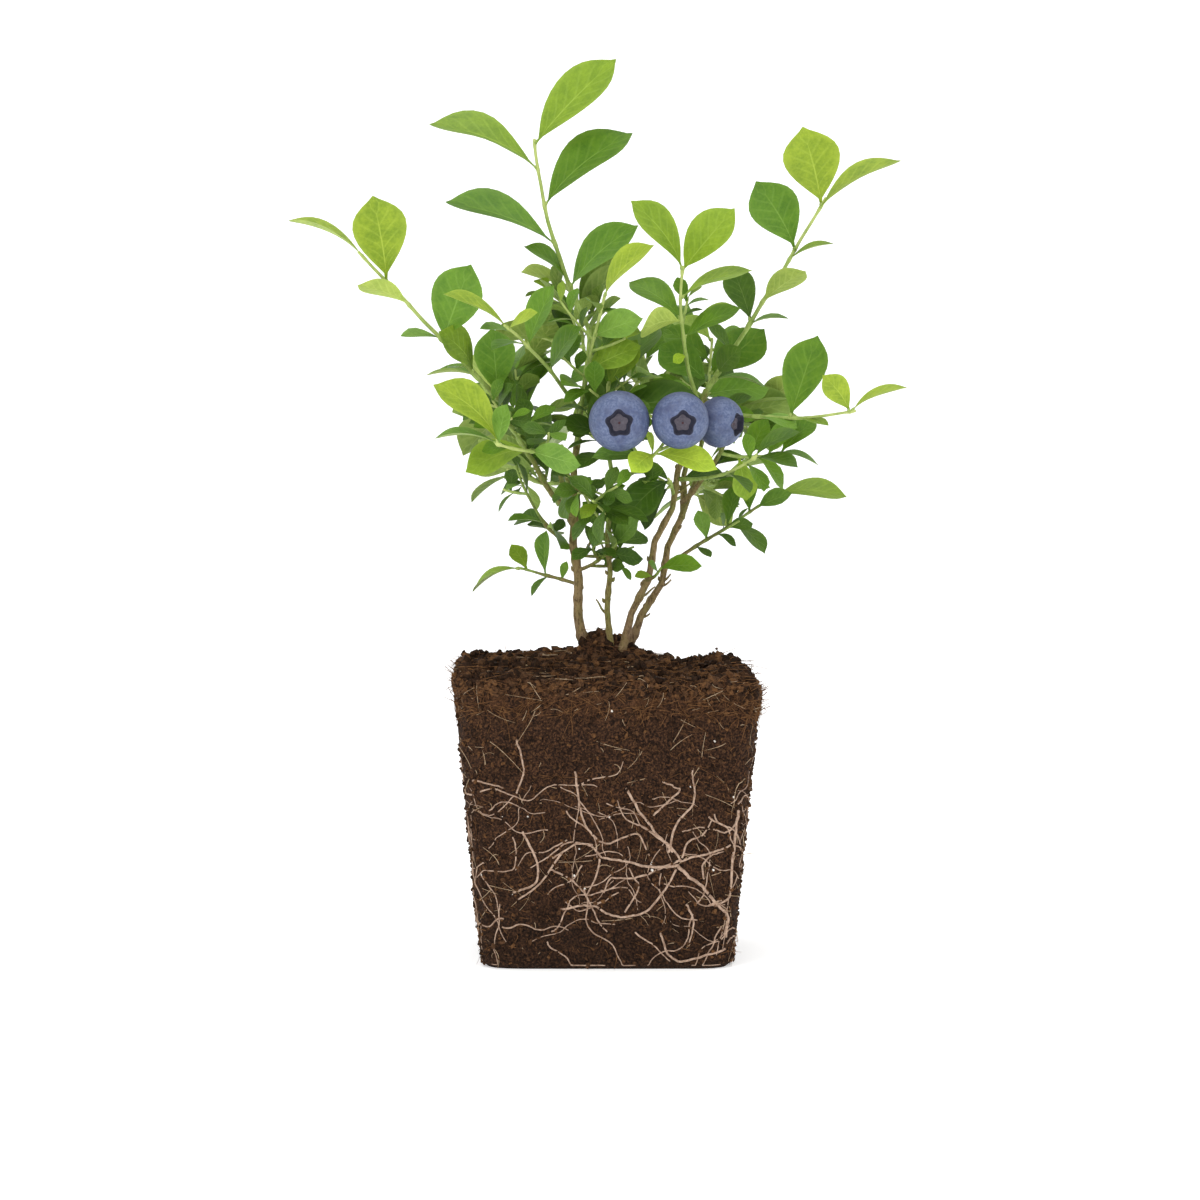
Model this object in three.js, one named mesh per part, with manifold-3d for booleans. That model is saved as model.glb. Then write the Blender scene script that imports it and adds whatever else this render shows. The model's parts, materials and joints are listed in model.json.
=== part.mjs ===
// A young blueberry bush that has been lifted out of its 9 cm nursery pot and stands on its bare
// root ball, with three ripe berries on it.
//
// Millimetres and degrees, +Z up, -Y the front. The origin is the middle of the flat underside.
// Four stems rise out of the soil, boughs spring from them, and each leafy shoot is one solid:
// its twigs with every leaf fused on. Where two solids meet, the younger is cut back 0.3 mm.

import * as THREE from 'three';
import { mergeVertices } from 'three/addons/utils/BufferGeometryUtils.js';
import Module from 'manifold-3d';

const wasm = await Module();
wasm.setup();

const clearance = 0.3; // left between two solids that meet

const soil = {
  bottomWidth: 72,
  topWidth: 87,
  rimHeight: 81.5,
  squareness: 7, // exponent of the rounded square that the pot gave the soil
  edgeRound: 3, // along the lower and upper edges
  mounds: [ // heaped up round the stems: centre, height and width
    { centre: [-3, 2], height: 5, width: 52 },
    { centre: [0.5, -1], height: 6, width: 15 },
  ],
  relief: 0.9,
  rows: 7, // up the side
  topRings: [0.8, 0.6, 0.42, 0.28, 0.17, 0.08, 0], // on the top, as shares of its half width
  sides: 40,
};

const limbDetail = { sides: 7, steps: 8 };
const shootDetail = { sides: 4, steps: 5 };
const twigDetail = { sides: 4, steps: 2 };

// The cross-sections of a blade, as shares of its length, for leaves up to a length.
const bladeSections = [
  { upTo: 12, stations: [0, 0.12, 0.5, 1] },
  { upTo: 20, stations: [0, 0.11, 0.4, 0.76, 1] },
  { upTo: 99, stations: [0, 0.09, 0.28, 0.52, 0.78, 1] },
];

const leafForm = {
  widthShare: 0.54, // width of a blade for its length
  thickness: 0.8, // along the midrib
  petiole: 0.06, // bare share of the length
  petioleWidth: 0.9,
  rootWidth: 0.5, // where the petiole starts inside the twig
  foldRise: 0.12, // how far the two halves stand up from the midrib, for their width
  arch: 0.035, // how far the middle stands up from a straight line to the tip, for the length
  leafGap: 2.2, // to the next leaf
  limbGap: 1.3, // to a limb's bark
};

// How leaves and side twigs are dealt out along a shoot.
const dealing = {
  lastLeaf: 0.97, // share of the twig where its last leaf can stand
  tries: 6, // places tried for a leaf, each turned further aside
  turnStep: 12,
  standoff: [42, 72],
  roll: [-45, 60],
  lean: [-50, 50],
  lengthSpread: [0.85, 1.1],
  widthSpread: [0.94, 1.12],
  archSpread: [0.2, 1.8],
  foldSpread: [0.4, 1.6],
  endSize: 0.62, // of the leaves at a twig's ends, for those in its middle
  firstTwig: 0.3,
  twigSpacing: 0.28,
  twigReach: [0.34, 0.46], // of the shoot's length
  twigLean: 0.4,
  twigLeaves: 3,
  twigFirst: 0.35,
  twigWidths: [1.1, 0.9],
};

const light = [0, -0.8, 0.6]; // the side that the front leaves turn their faces to
const skyLight = [0, 0.3, 0.95];
const across = [1, 0, 0];
const tipShare = 0.66; // a shoot's width at its tip, for that at its foot

// Stems stand in the soil. A bough starts on its parent, at a share of the parent's length.
// bow is how far the middle stands off the straight line from foot to tip.
const limbs = [
  { name: 'stem_left', foot: [-6.6, 0, 86.5], tip: [-7.8, 0, 158.5], bow: [-2.1, 1, 0],
    footWidth: 3.1, tipWidth: 1.9, flare: 0.5 },
  { name: 'stem_middle', foot: [0.9, -4, 88.5], tip: [1.5, -6, 141], bow: [-0.8, 1, 0],
    footWidth: 1.9, tipWidth: 1.5, flare: 0.3 },
  { name: 'stem_right_front', foot: [4, -3, 88], tip: [28.6, -4, 163.5], bow: [0.4, -1.5, 0],
    footWidth: 2.3, tipWidth: 1.6, flare: 0.4 },
  { name: 'stem_right_back', foot: [5.2, 3.4, 87.5], tip: [24, 12, 148], bow: [3.8, -1.5, -1],
    footWidth: 2.4, tipWidth: 1.6, flare: 0.4 },
  { name: 'bough_top', parent: 'stem_left', at: 0.98, tip: [-5.2, 5, 181], bow: [0.8, 0.5, 0],
    footWidth: 1.7, tipWidth: 1.5 },
  { name: 'bough_left', parent: 'stem_left', at: 0.55, tip: [-30, -8, 160], bow: [-1, 0, -2],
    footWidth: 1.8, tipWidth: 1.5 },
  { name: 'bough_front', parent: 'stem_left', at: 0.62, tip: [-13, -22, 148], bow: [0, -2, -1],
    footWidth: 1.7, tipWidth: 1.4 },
  { name: 'bough_back_left', parent: 'stem_left', at: 0.5, tip: [-15, 26, 150], bow: [-1, 2, -2],
    footWidth: 1.8, tipWidth: 1.4 },
  { name: 'bough_back_right', parent: 'stem_right_back', at: 0.6, tip: [29, 31, 152], bow: [1, 2, -2],
    footWidth: 1.8, tipWidth: 1.4 },
  { name: 'bough_right', parent: 'stem_right_back', at: 0.72, tip: [36.7, -10, 157], bow: [1.5, -1, -1.5],
    footWidth: 1.7, tipWidth: 1.4 },
];

// A leafy shoot. leaves lists its leaves, each as [share of the twig, standoff from the twig, length,
// roll from the light to the sky, lean to the front]; a minus standoff is on the left. Where a count
// stands instead, the seed deals the leaves out from first to the tip.
const shoots = [
  { name: 'leaves_top', parent: 'bough_top', at: 0.99, tip: [-20.9, 0, 235.5], bow: [-2.8, 0, 0],
    width: 1.5, seed: 11,
    leaves: [[0.23, -29, 18, 35, 24], [0.22, 69, 28, 19, 16], [0.45, -52, 34, 30, 0],
      [0.65, 63, 33, 20, 0], [0.84, -59, 34, 32, 0], [0.97, 49, 34, 18, 0]] },
  { name: 'leaves_far_left', parent: 'bough_left', at: 0.99, tip: [-70.5, -22, 203], bow: [-0.5, 0, 0.5],
    width: 1.5, seed: 21,
    leaves: [[0.04, 39, 22, 5, 12], [0.17, -46, 15, 50, 0], [0.2, 24, 19, 0, 70],
      [0.41, 62, 28, -15, 25], [0.42, -42, 12, 30, 20], [0.64, -26, 17, 86, 40],
      [0.8, 38, 29, -3, 25], [0.96, -26, 24, 49, -22]] },
  { name: 'leaves_left_high', parent: 'stem_left', at: 0.98, tip: [-28.8, -37, 182.3], bow: [0.5, 0, 1.5],
    width: 1.3, seed: 31,
    leaves: [[0.42, 58, 18, 21, -21], [0.72, -38, 13, 35, 41], [0.71, 61, 20, 28, -41],
      [0.87, -37, 11, 32, 7], [0.95, 72, 12, 12, -3], [0.95, -42, 21, 38, -29]] },
  { name: 'leaves_centre', parent: 'stem_left', at: 0.84, tip: [-0.4, -21, 191.5], bow: [-1, -3, 0],
    width: 1.3, seed: 43,
    leaves: [[0.36, -60, 15, 5, 20], [0.5, 50, 18, -5, 10], [0.72, 52, 17, -10, 28],
      [0.97, 28, 21, 30, 10], [0.86, -60, 11, 20, 60]] },
  { name: 'leaves_left', parent: 'bough_left', at: 0.6, tip: [-36, -25, 157], bow: [1, 0, 3],
    width: 1.2, seed: 51,
    leaves: [[0.04, 55, 14, 14, -31], [0.27, 40, 15.5, 65, -63], [0.38, 89, 8, 15, 30], [0.56, -42, 10, 10, 29],
      [0.8, -56, 13.5, 32, -48], [0.96, 39, 9, 11, -78]] },
  { name: 'leaves_low_left', parent: 'stem_left', at: 0.285, tip: [-25.6, 12, 111], bow: [-1, 0, 0.5],
    spread: [0, 0, 1], width: 1.1, seed: 61,
    leaves: [[0.22, 100, 7, 20, 10], [0.42, -66, 8, 38, 20], [0.48, 80, 13, 50, 0],
      [0.84, 80, 10, -30, 40], [0.97, -38, 17, 42, 30]] },
  { name: 'leaves_left_low', parent: 'stem_left', at: 0.42, tip: [-26.5, 12, 141], bow: [-2, 1, -2],
    width: 1.1, seed: 71,
    leaves: [[0.36, -140, 15, 60, 10], [0.38, -60, 12, 40, 25], [0.42, -52, 13, 0, -40],
      [0.72, 14, 10, 62, 60], [0.8, -90, 8, 36, 40], [0.97, 40, 8, 30, 0]] },
  { name: 'leaves_right_high', parent: 'stem_right_front', at: 0.93, tip: [21.6, -14, 199],
    bow: [-2.4, 0, -0.5], width: 1.3, seed: 81,
    leaves: [[0.38, -90, 6, -20, 50], [0.5, 68, 19, 25, 0], [0.62, -86, 17, 98, 40],
      [0.63, -60, 20, 18, 12], [0.78, 68, 22, 36, 0], [0.97, -41, 25, 20, 0], [0.97, 34, 24, 5, 12]] },
  { name: 'leaves_far_right', parent: 'stem_right_front', at: 0.99, tip: [63.9, 17, 219],
    bow: [0.5, 0, 0], width: 1.5, seed: 91,
    leaves: [[0.06, 66, 15, 46, 0], [0.1, 66, 15, -30, 55], [0.2, -72, 11, 30, 14],
      [0.36, -52, 17, -20, 20], [0.34, 52, 12, 44, 10], [0.46, 50, 17, 100, 55], [0.73, -78, 27, -36, 50],
      [0.68, 42, 14, 44, 10], [0.94, 32, 28, 41, 16], [0.96, -68, 28, -27, 60]] },
  { name: 'leaves_right', parent: 'bough_right', at: 0.99, tip: [70.5, -25, 158], bow: [0, 0, -1.5],
    spread: [0, 0, -1], width: 1.2, seed: 101,
    leaves: [[0.2, 12, 13, 25, 30], [0.46, -69, 25, 5, 0], [0.5, 14, 11, 34, 20],
      [0.95, -100, 15, -20, 40], [0.96, -28, 17.5, 42, -60]] },
  { name: 'leaves_right_mid', parent: 'bough_right', at: 0.62, tip: [51, 0, 145.5], bow: [0, 0, -1.5],
    spread: [0, 0, -1], width: 1.1, seed: 111,
    leaves: [[0.3, 75, 13, 5, 10], [0.45, -70, 13, 10, 20], [0.6, 55, 12, 30, 0], [0.76, -45, 13, 20, 10],
      [0.9, 30, 13, 40, 0], [0.97, -25, 14, 10, 0]] },
  { name: 'leaves_low_right', parent: 'stem_right_back', at: 0.42, tip: [50.5, 20, 132.5], bow: [1, 0, 0.5],
    width: 1.2, seed: 121,
    leaves: [[0.25, 86, 7, 25, 20], [0.34, -75, 9, 10, 30], [0.52, -44, 13, 36, 30], [0.56, 85, 14, 32, 0],
      [0.72, -50, 11, 35, 20], [0.97, 40, 21, 28, 0], [0.8, 50, 12, 0, 50]] },
  { name: 'leaves_stem_foot', parent: 'stem_right_front', at: 0.27, tip: [15.6, -10, 112.5],
    bow: [0.5, -1, -0.5], width: 1.0, seed: 131,
    leaves: [[0.4, -100, 6, 10, 10], [0.7, -60, 6, 10, 10], [0.97, 60, 12, 5, 10]] },
  { name: 'leaves_fork', parent: 'stem_left', at: 0.34, tip: [2.9, -10, 119.8], bow: [0.8, 0, -1],
    width: 1.2, seed: 271,
    leaves: [[0.45, -60, 9, 20, 10], [0.97, 82, 13, 0, 10], [0.94, 2, 13, -10, 35],
      [0.85, -40, 10, 10, 10]] },
  { name: 'leaves_fork_left', parent: 'stem_left', at: 0.37, tip: [-1.4, 2, 125.5], bow: [0.3, 0, -0.5],
    width: 1.0, seed: 281,
    leaves: [[0.6, 70, 9, 30, 0], [0.8, -62, 11, 10, 30], [0.97, 20, 12, 10, 20]] },
  { name: 'leaves_middle_low', parent: 'stem_right_front', at: 0.6, tip: [17.5, -17, 138.5], bow: [0, 0, 0.8],
    spread: [0, 0, 1], width: 1.2, seed: 141,
    leaves: [[0.68, -60, 20, -13, -39], [0.41, -105, 15, 33, -31],
      [0.62, 75, 10, 23, -62]] },
  { name: 'leaves_middle', parent: 'stem_middle', at: 0.97, tip: [0.5, -12, 166], bow: [-1, 2, 0],
    width: 1.3, seed: 152, twigs: 2, longest: 20,
    leaves: [[0.95, 30, 16, -7, -28], [0.8, 56, 28, 36, -8], [0.67, 79, 28, 13, -4], [0.89, 32, 19.5, 56, -60],
      [0.95, -25, 15, 53, -49], [0.36, -65, 16, 12, 24], [0.2, -101, 12, 22, 30], [0.47, 103, 14, 22, 3]] },
  { name: 'leaves_back_left', parent: 'bough_back_left', at: 0.98, tip: [-34, 48, 168], bow: [-2, 2, -1],
    lightTo: skyLight, width: 1.3, first: 0.15, crowding: 0.9, seed: 161, twigs: 2, count: 10, longest: 25 },
  { name: 'leaves_back_left_low', parent: 'bough_back_left', at: 0.55, tip: [-28, 40, 140],
    bow: [-1, 1, -2], lightTo: skyLight, width: 1.1, first: 0.2, crowding: 1, seed: 171, twigs: 1,
    count: 7, longest: 20 },
  { name: 'leaves_back_high', parent: 'bough_top', at: 0.55, tip: [-9, 32, 192], bow: [0, 3, -2],
    lightTo: skyLight, width: 1.2, first: 0.2, crowding: 0.9, seed: 181, twigs: 1, count: 9, longest: 23 },
  { name: 'leaves_back_centre', parent: 'stem_right_back', at: 0.98, tip: [10, 52, 178], bow: [-2, 3, -3],
    lightTo: skyLight, width: 1.3, first: 0.18, crowding: 0.9, seed: 191, twigs: 2, count: 9, longest: 24 },
  { name: 'leaves_back_right', parent: 'bough_back_right', at: 0.98, tip: [40, 52, 160], bow: [1, 2, -2],
    lightTo: skyLight, width: 1.3, first: 0.15, crowding: 0.9, seed: 208, twigs: 2, count: 10, longest: 25 },
  { name: 'leaves_back_right_low', parent: 'bough_back_right', at: 0.5, tip: [36, 44, 138],
    bow: [1, 1, -2], lightTo: skyLight, width: 1.1, first: 0.2, crowding: 1, seed: 211, twigs: 1,
    count: 7, longest: 20 },
  { name: 'leaves_right_back', parent: 'stem_right_front', at: 0.86, tip: [31, 26, 178], bow: [1, 2, -2],
    width: 1.2, first: 0.2, crowding: 1, seed: 221, twigs: 1, count: 8, longest: 20 },
  { name: 'leaves_front_left', parent: 'bough_front', at: 0.98, tip: [-31, -46, 149.5], bow: [0, -2, -1.5],
    width: 1.3, seed: 231,
    leaves: [[0.44, -42, 20.5, 4, 26], [0.47, 106, 15.5, -31, 16], [0.96, -37, 25, 22, -67],
      [0.96, 67, 13, 27, -56], [0.21, 114, 8.5, -4, -60], [0.76, -31, 9, 5, 19], [0.96, -44, 18, 44, -7]] },
  { name: 'leaves_front_low', parent: 'bough_front', at: 0.55, tip: [0, -30, 130.5], bow: [0, -1, -1],
    width: 1.1, seed: 241,
    leaves: [[0.12, -36, 14, 61, 33], [0.8, -77, 8, 2, 11], [0.93, 60, 7, -25, -83], [0.96, -93, 11, 41, 49],
      [0.96, 45, 13, 31, 23]] },
  { name: 'leaves_front_right', parent: 'stem_right_front', at: 0.66, tip: [42, -38, 145.7],
    bow: [1, -1, -2], width: 1.2, seed: 254,
    leaves: [[0.04, 54, 13, 21, -3], [0.52, 38, 12, 43, 65], [0.84, 60, 12, 33, 78], [0.9, -71, 8, 27, -67],
      [0.96, 51, 15, 32, -33], [0.96, 45, 14, 28, 23], [0.96, -61, 9, 49, -80]] },
];

// The truss that carries the ripe berries. Each berry hangs on a pedicel that leaves the truss at a
// share of its length, and faces the way its calyx looks.
const truss = {
  name: 'berry_truss', parent: 'stem_middle', at: 0.92, tip: [15, -28, 147.5], bow: [0, -1, -1.5],
  width: 1.3, seed: 261,
  leaves: [[0.74, -112, 16, 27, 0], [0.89, 58, 19, 12, 24], [0.88, -84, 13, -10, 50],
    [0.84, -46, 9, 40, -35]],
  pedicelWidth: 1.0,
  pedicelBow: [0, 1.2, -1.2],
  berries: [
    { centre: [3.4, -34, 155.4], width: 17.2, facing: [0, -1, -0.06], from: 0.7 },
    { centre: [20.6, -34, 155.6], width: 16.2, facing: [0.1, -1, -0.1], from: 0.85 },
    { centre: [31.8, -23, 154.8], width: 14.6, facing: [0.85, -0.6, -0.1], from: 0.96 },
  ],
};

// A berry's profile from the stalk end to the bottom of the calyx, in berry radii, and the height
// that only the calyx stands above.
const berryForm = {
  profile: [[0, -0.88], [0.45, -0.78], [0.82, -0.48], [1, 0], [0.9, 0.42], [0.62, 0.74], [0.47, 0.83],
    [0.46, 0.98], [0.38, 0.97], [0.33, 0.76], [0, 0.7]],
  calyxTop: 0.93,
  lobeDepth: 0.14,
  sides: 15,
};

// ---- seeded draws and paths ----

// Park and Miller's generator: a draw between two values, the same on every run.
function seeded(seed) {
  const modulus = 2147483647;
  let state = 7919 * seed + 104729;
  return (low, high) => {
    state = (state * 16807) % modulus;
    return low + ((high - low) * state) / modulus;
  };
}

const radians = THREE.MathUtils.degToRad;

const vector = (values) => new THREE.Vector3(...values);

// A limb's path: the parabola from foot to tip whose middle stands off by bow.
function limbPath(foot, tip, bow) {
  const control = foot.clone().add(tip).multiplyScalar(0.5).addScaledVector(bow, 2);
  return new THREE.QuadraticBezierCurve3(foot, control, tip);
}

// The part of a direction that is square to an axis, as a unit vector.
function squareTo(direction, axis) {
  return direction.clone().addScaledVector(axis, -direction.dot(axis)).normalize();
}

// The world axis that a path runs along least: a steady reference for its cross-sections.
function steadyAcross(path) {
  const run = path.getPoint(1).sub(path.getPoint(0)).toArray().map(Math.abs);
  const least = run.indexOf(Math.min(...run));
  return new THREE.Vector3().setComponent(least, 1);
}

// ---- solids ----

// A closed solid from a three.js geometry: shared vertices are merged and slivers left at the
// poles dropped.
function toSolid(geometry) {
  geometry.deleteAttribute('normal');
  geometry.deleteAttribute('uv');
  const merged = mergeVertices(geometry, 1e-5);
  const index = merged.index.array;
  const faces = [];
  for (let i = 0; i < index.length; i += 3) {
    const [a, b, c] = index.slice(i, i + 3);
    if (a !== b && b !== c && c !== a) faces.push(a, b, c);
  }
  const vertProperties = new Float32Array(merged.attributes.position.array);
  return new wasm.Manifold(new wasm.Mesh({ numProp: 3, vertProperties, triVerts: new Uint32Array(faces) }));
}

function toMesh(name, solid, material) {
  const { vertProperties, triVerts } = solid.getMesh();
  const geometry = new THREE.BufferGeometry();
  geometry.setAttribute('position', new THREE.BufferAttribute(vertProperties, 3));
  geometry.setIndex(new THREE.BufferAttribute(triVerts, 1));
  geometry.computeVertexNormals();
  const mesh = new THREE.Mesh(geometry, material);
  mesh.name = name;
  return mesh;
}

// Every vertex of a geometry moved by a function of its position.
function reshape(geometry, move) {
  const position = geometry.attributes.position;
  for (let i = 0; i < position.count; i += 1) {
    position.setXYZ(i, ...move(new THREE.Vector3().fromBufferAttribute(position, i)).toArray());
  }
  return geometry;
}

// A capped unit cylinder bent along a path, narrowing from foot to tip, with a flare at the foot.
// margin grows it all round and past both ends.
function limbSolid(limb, margin = 0) {
  const { path, footWidth, tipWidth, flare = 0, sides, steps } = limb;
  const reference = steadyAcross(path);
  const rod = new THREE.CylinderGeometry(1, 1, 1, sides, steps);
  return toSolid(reshape(rod, (p) => {
    const t = p.y + 0.5;
    const tangent = path.getTangent(t);
    const side = squareTo(reference, tangent);
    const front = side.clone().cross(tangent);
    const width = THREE.MathUtils.lerp(footWidth, tipWidth, t) + flare * 2 * Math.exp(-t * 16);
    const radius = width / 2 + margin;
    return path.getPoint(t)
      .addScaledVector(tangent, margin * Math.sign(t - 0.5))
      .addScaledVector(side, p.x * radius)
      .addScaledVector(front, p.z * radius);
  }));
}

// Half the width of a blade at a share of its length: it swells fast from the petiole and narrows
// to a point.
function bladeHalfWidth(leaf, share) {
  const base = 0.8;
  const point = 0.62;
  const peak = base / (base + point);
  const scale = peak ** base * (1 - peak) ** point;
  return (leaf.width / 2) * (share ** base * (1 - share) ** point) / scale;
}

// A point of a leaf: along is 0 at the twig and 1 at the tip, side -1 to 1 from edge to edge.
function leafPoint(leaf, along, side, lift) {
  const { petiole, petioleWidth, rootWidth } = leafForm;
  const share = (along - petiole) / (1 - petiole);
  const neck = THREE.MathUtils.lerp(rootWidth, petioleWidth, Math.min(along / petiole, 1)) / 2;
  const halfWidth = share > 0 ? Math.max(bladeHalfWidth(leaf, share), neck * (1 - share)) : neck;
  const rise = leaf.fold * halfWidth * Math.abs(side) + leaf.arch * leaf.length * 4 * along * (1 - along);
  return leaf.foot.clone()
    .addScaledVector(leaf.axis, leaf.length * along)
    .addScaledVector(leaf.side, side * halfWidth)
    .addScaledVector(leaf.normal, rise + lift);
}

// A leaf is a four-sided cone flattened into a blade: two edges, a ridge above and one below.
function leafSolid(leaf) {
  const { stations } = bladeSections.find(({ upTo }) => leaf.length <= upTo);
  const rows = stations.length - 1;
  const cone = new THREE.ConeGeometry(1, 1, 4, rows);
  return toSolid(reshape(cone, (p) => {
    const row = Math.round((p.y + 0.5) * rows);
    const corner = new THREE.Vector2(p.x, p.z);
    if (corner.length() > 1e-6) corner.normalize();
    const thickness = row > 0 ? leafForm.thickness : leafForm.rootWidth;
    return leafPoint(leaf, stations[row], corner.x, (corner.y * thickness) / 2);
  }));
}

// A ripe berry: a slightly flattened ball with a five-lobed calyx standing round a shallow dish.
function berrySolid(berry) {
  const radius = berry.width / 2;
  const { profile, sides, lobeDepth, calyxTop } = berryForm;
  const points = profile.map(([r, y]) => new THREE.Vector2(r * radius, y * radius));
  const lathe = new THREE.LatheGeometry(points, sides);
  const turn = new THREE.Quaternion()
    .setFromUnitVectors(new THREE.Vector3(0, 1, 0), vector(berry.facing).normalize());
  return toSolid(reshape(lathe, (p) => {
    const onRim = p.y > calyxTop * radius;
    const lobe = onRim ? 1 + lobeDepth * Math.cos(5 * Math.atan2(p.z, p.x)) : 1;
    return new THREE.Vector3(p.x * lobe, p.y, p.z * lobe).applyQuaternion(turn).add(vector(berry.centre));
  }));
}

// ---- root ball ----

function lumps(x, y, z) {
  return Math.sin(0.23 * x + 0.9) * Math.sin(0.29 * y + 0.31 * z)
    + 0.6 * Math.sin(0.47 * y - 0.37 * z + 2) * Math.sin(0.41 * x + 0.2 * z)
    + 0.4 * Math.sin(0.83 * x + 1.1 * z) * Math.sin(0.71 * y - 0.57 * x);
}

// The soil's surface: a rounded square that widens upwards, heaped up round the stems.
function soilPoint(angle, reach, height) {
  const { bottomWidth, topWidth, rimHeight, squareness, mounds, relief } = soil;
  const cosine = Math.cos(angle);
  const sine = Math.sin(angle);
  const corner = (Math.abs(cosine) ** squareness + Math.abs(sine) ** squareness) ** (-1 / squareness);
  const halfWidth = THREE.MathUtils.lerp(bottomWidth, topWidth, height / rimHeight) / 2;
  const point = new THREE.Vector3(cosine, sine, 0).multiplyScalar(reach * corner * halfWidth);
  point.z = height;
  const bump = relief * lumps(point.x, point.y, point.z);
  let mound = 0;
  for (const { centre, height: heap, width } of mounds) {
    const away = Math.hypot(point.x - centre[0], point.y - centre[1]) / (width / 2);
    mound += heap * Math.exp(-(away ** 2));
  }
  const top = height > rimHeight - 1 ? 1 : 0;
  const side = height > 0 ? 1 - top : 0;
  point.x += side * bump * cosine;
  point.y += side * bump * sine;
  point.z += top * (mound + bump);
  return point;
}

function soilSolid() {
  const { rimHeight, edgeRound, bottomWidth, topWidth, rows, topRings, sides } = soil;
  const inset = (round, width) => 1 - (2 * round) / width;
  const profile = [[0, 0], [0.6, 0], [inset(edgeRound * 0.6, bottomWidth), 0]];
  for (let i = 0; i <= rows; i += 1) {
    const height = THREE.MathUtils.lerp(edgeRound * 0.6, rimHeight - edgeRound, i / rows);
    profile.push([1, height]);
  }
  profile.push([inset(edgeRound, topWidth), rimHeight - 0.01]);
  for (const reach of topRings) {
    profile.push([reach, rimHeight]);
  }
  const lathe = new THREE.LatheGeometry(profile.map(([r, y]) => new THREE.Vector2(r, y)), sides);
  return toSolid(reshape(lathe, (p) => {
    return soilPoint(Math.atan2(-p.z, p.x), Math.hypot(p.x, p.z), p.y);
  }));
}

// ---- growth ----

const grown = {}; // every limb and shoot by name, with its path and widths
const taken = []; // points of the leaves that are already there

function startOn(parentName, at) {
  return grown[parentName].path.getPoint(at);
}

function growLimb(limb) {
  const foot = limb.parent ? startOn(limb.parent, limb.at) : vector(limb.foot);
  const path = limbPath(foot, vector(limb.tip), vector(limb.bow));
  grown[limb.name] = { ...limb, path };
}

// Points spread over a blade, by which leaves keep clear of each other and of the limbs.
function bladePoints(leaf) {
  const points = [];
  for (const along of [0.3, 0.45, 0.6, 0.75, 0.9, 1]) {
    for (const side of [-0.9, -0.45, 0, 0.45, 0.9]) {
      points.push(leafPoint(leaf, along, side, 0));
    }
  }
  return points;
}

function isClear(leaf, shootName) {
  const points = bladePoints(leaf);
  const { leafGap, limbGap } = leafForm;
  if (taken.some((point) => points.some((p) => p.distanceTo(point) < leafGap))) return false;
  return !Object.values(grown).some((limb) => {
    const width = Math.max(limb.footWidth, limb.tipWidth);
    const gap = limb.name === shootName ? 0 : limbGap;
    for (let step = 0; step <= 24; step += 1) {
      const mark = limb.path.getPoint(step / 24);
      if (points.some((p) => p.distanceTo(mark) < width / 2 + gap)) return true;
    }
    return false;
  });
}

// One leaf on a twig: standoff tilts it off the twig, lean turns it to the front, and roll turns
// its face from the light to the sky.
function makeLeaf(path, spread, lightTo, [at, standoff, length, roll, lean], draw) {
  const tangent = path.getTangent(at);
  const side = squareTo(vector(spread), tangent);
  const front = side.clone().cross(tangent);
  const out = side.multiplyScalar(Math.sign(standoff) * Math.cos(radians(lean)))
    .addScaledVector(front, Math.sin(radians(lean)));
  const off = radians(Math.abs(standoff));
  const axis = tangent.clone().multiplyScalar(Math.cos(off)).addScaledVector(out, Math.sin(off)).normalize();
  const toLight = squareTo(vector(lightTo), axis);
  const toSky = axis.clone().cross(toLight);
  if (toSky.z < 0) toSky.negate();
  const normal = toLight.multiplyScalar(Math.cos(radians(roll)))
    .addScaledVector(toSky, Math.sin(radians(roll)));
  return {
    foot: path.getPoint(at),
    axis,
    normal,
    side: axis.clone().cross(normal),
    length,
    width: length * leafForm.widthShare * draw(...dealing.widthSpread),
    arch: leafForm.arch * draw(...dealing.archSpread),
    fold: leafForm.foldRise * draw(...dealing.foldSpread),
  };
}

// Leaves down a twig, turned aside a few times and then left out where they would touch.
function dressTwig(twig, shoot, draw) {
  const leaves = [];
  twig.rows.forEach(([at, standoff, length, roll, lean]) => {
    for (let turn = 0; turn < dealing.tries; turn += 1) {
      const nudge = turn * dealing.turnStep * draw(-1, 1);
      const tried = [at, standoff, length, roll, lean + nudge];
      const leaf = makeLeaf(twig.path, shoot.spread ?? across, shoot.lightTo ?? light, tried, draw);
      if (isClear(leaf, shoot.name)) {
        leaves.push(leaf);
        taken.push(...bladePoints(leaf));
        break;
      }
    }
  });
  return leaves;
}

// Rows for leaves that the seed deals out, on alternate sides, largest in the middle of the twig.
function drawnRows(count, longest, first, crowding, draw) {
  const { lastLeaf, endSize } = dealing;
  const rows = [];
  for (let i = 0; i < count; i += 1) {
    const at = Math.min(first + (1 - first) * (i / (count - 1)) ** crowding, lastLeaf);
    const size = endSize + (1 - endSize) * Math.sin((Math.PI * (i + 1)) / (count + 1));
    const standoff = draw(...dealing.standoff) * (i % 2 ? -1 : 1);
    const length = longest * size * draw(...dealing.lengthSpread);
    rows.push([at, standoff, length, draw(...dealing.roll), draw(...dealing.lean)]);
  }
  return rows;
}

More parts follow.
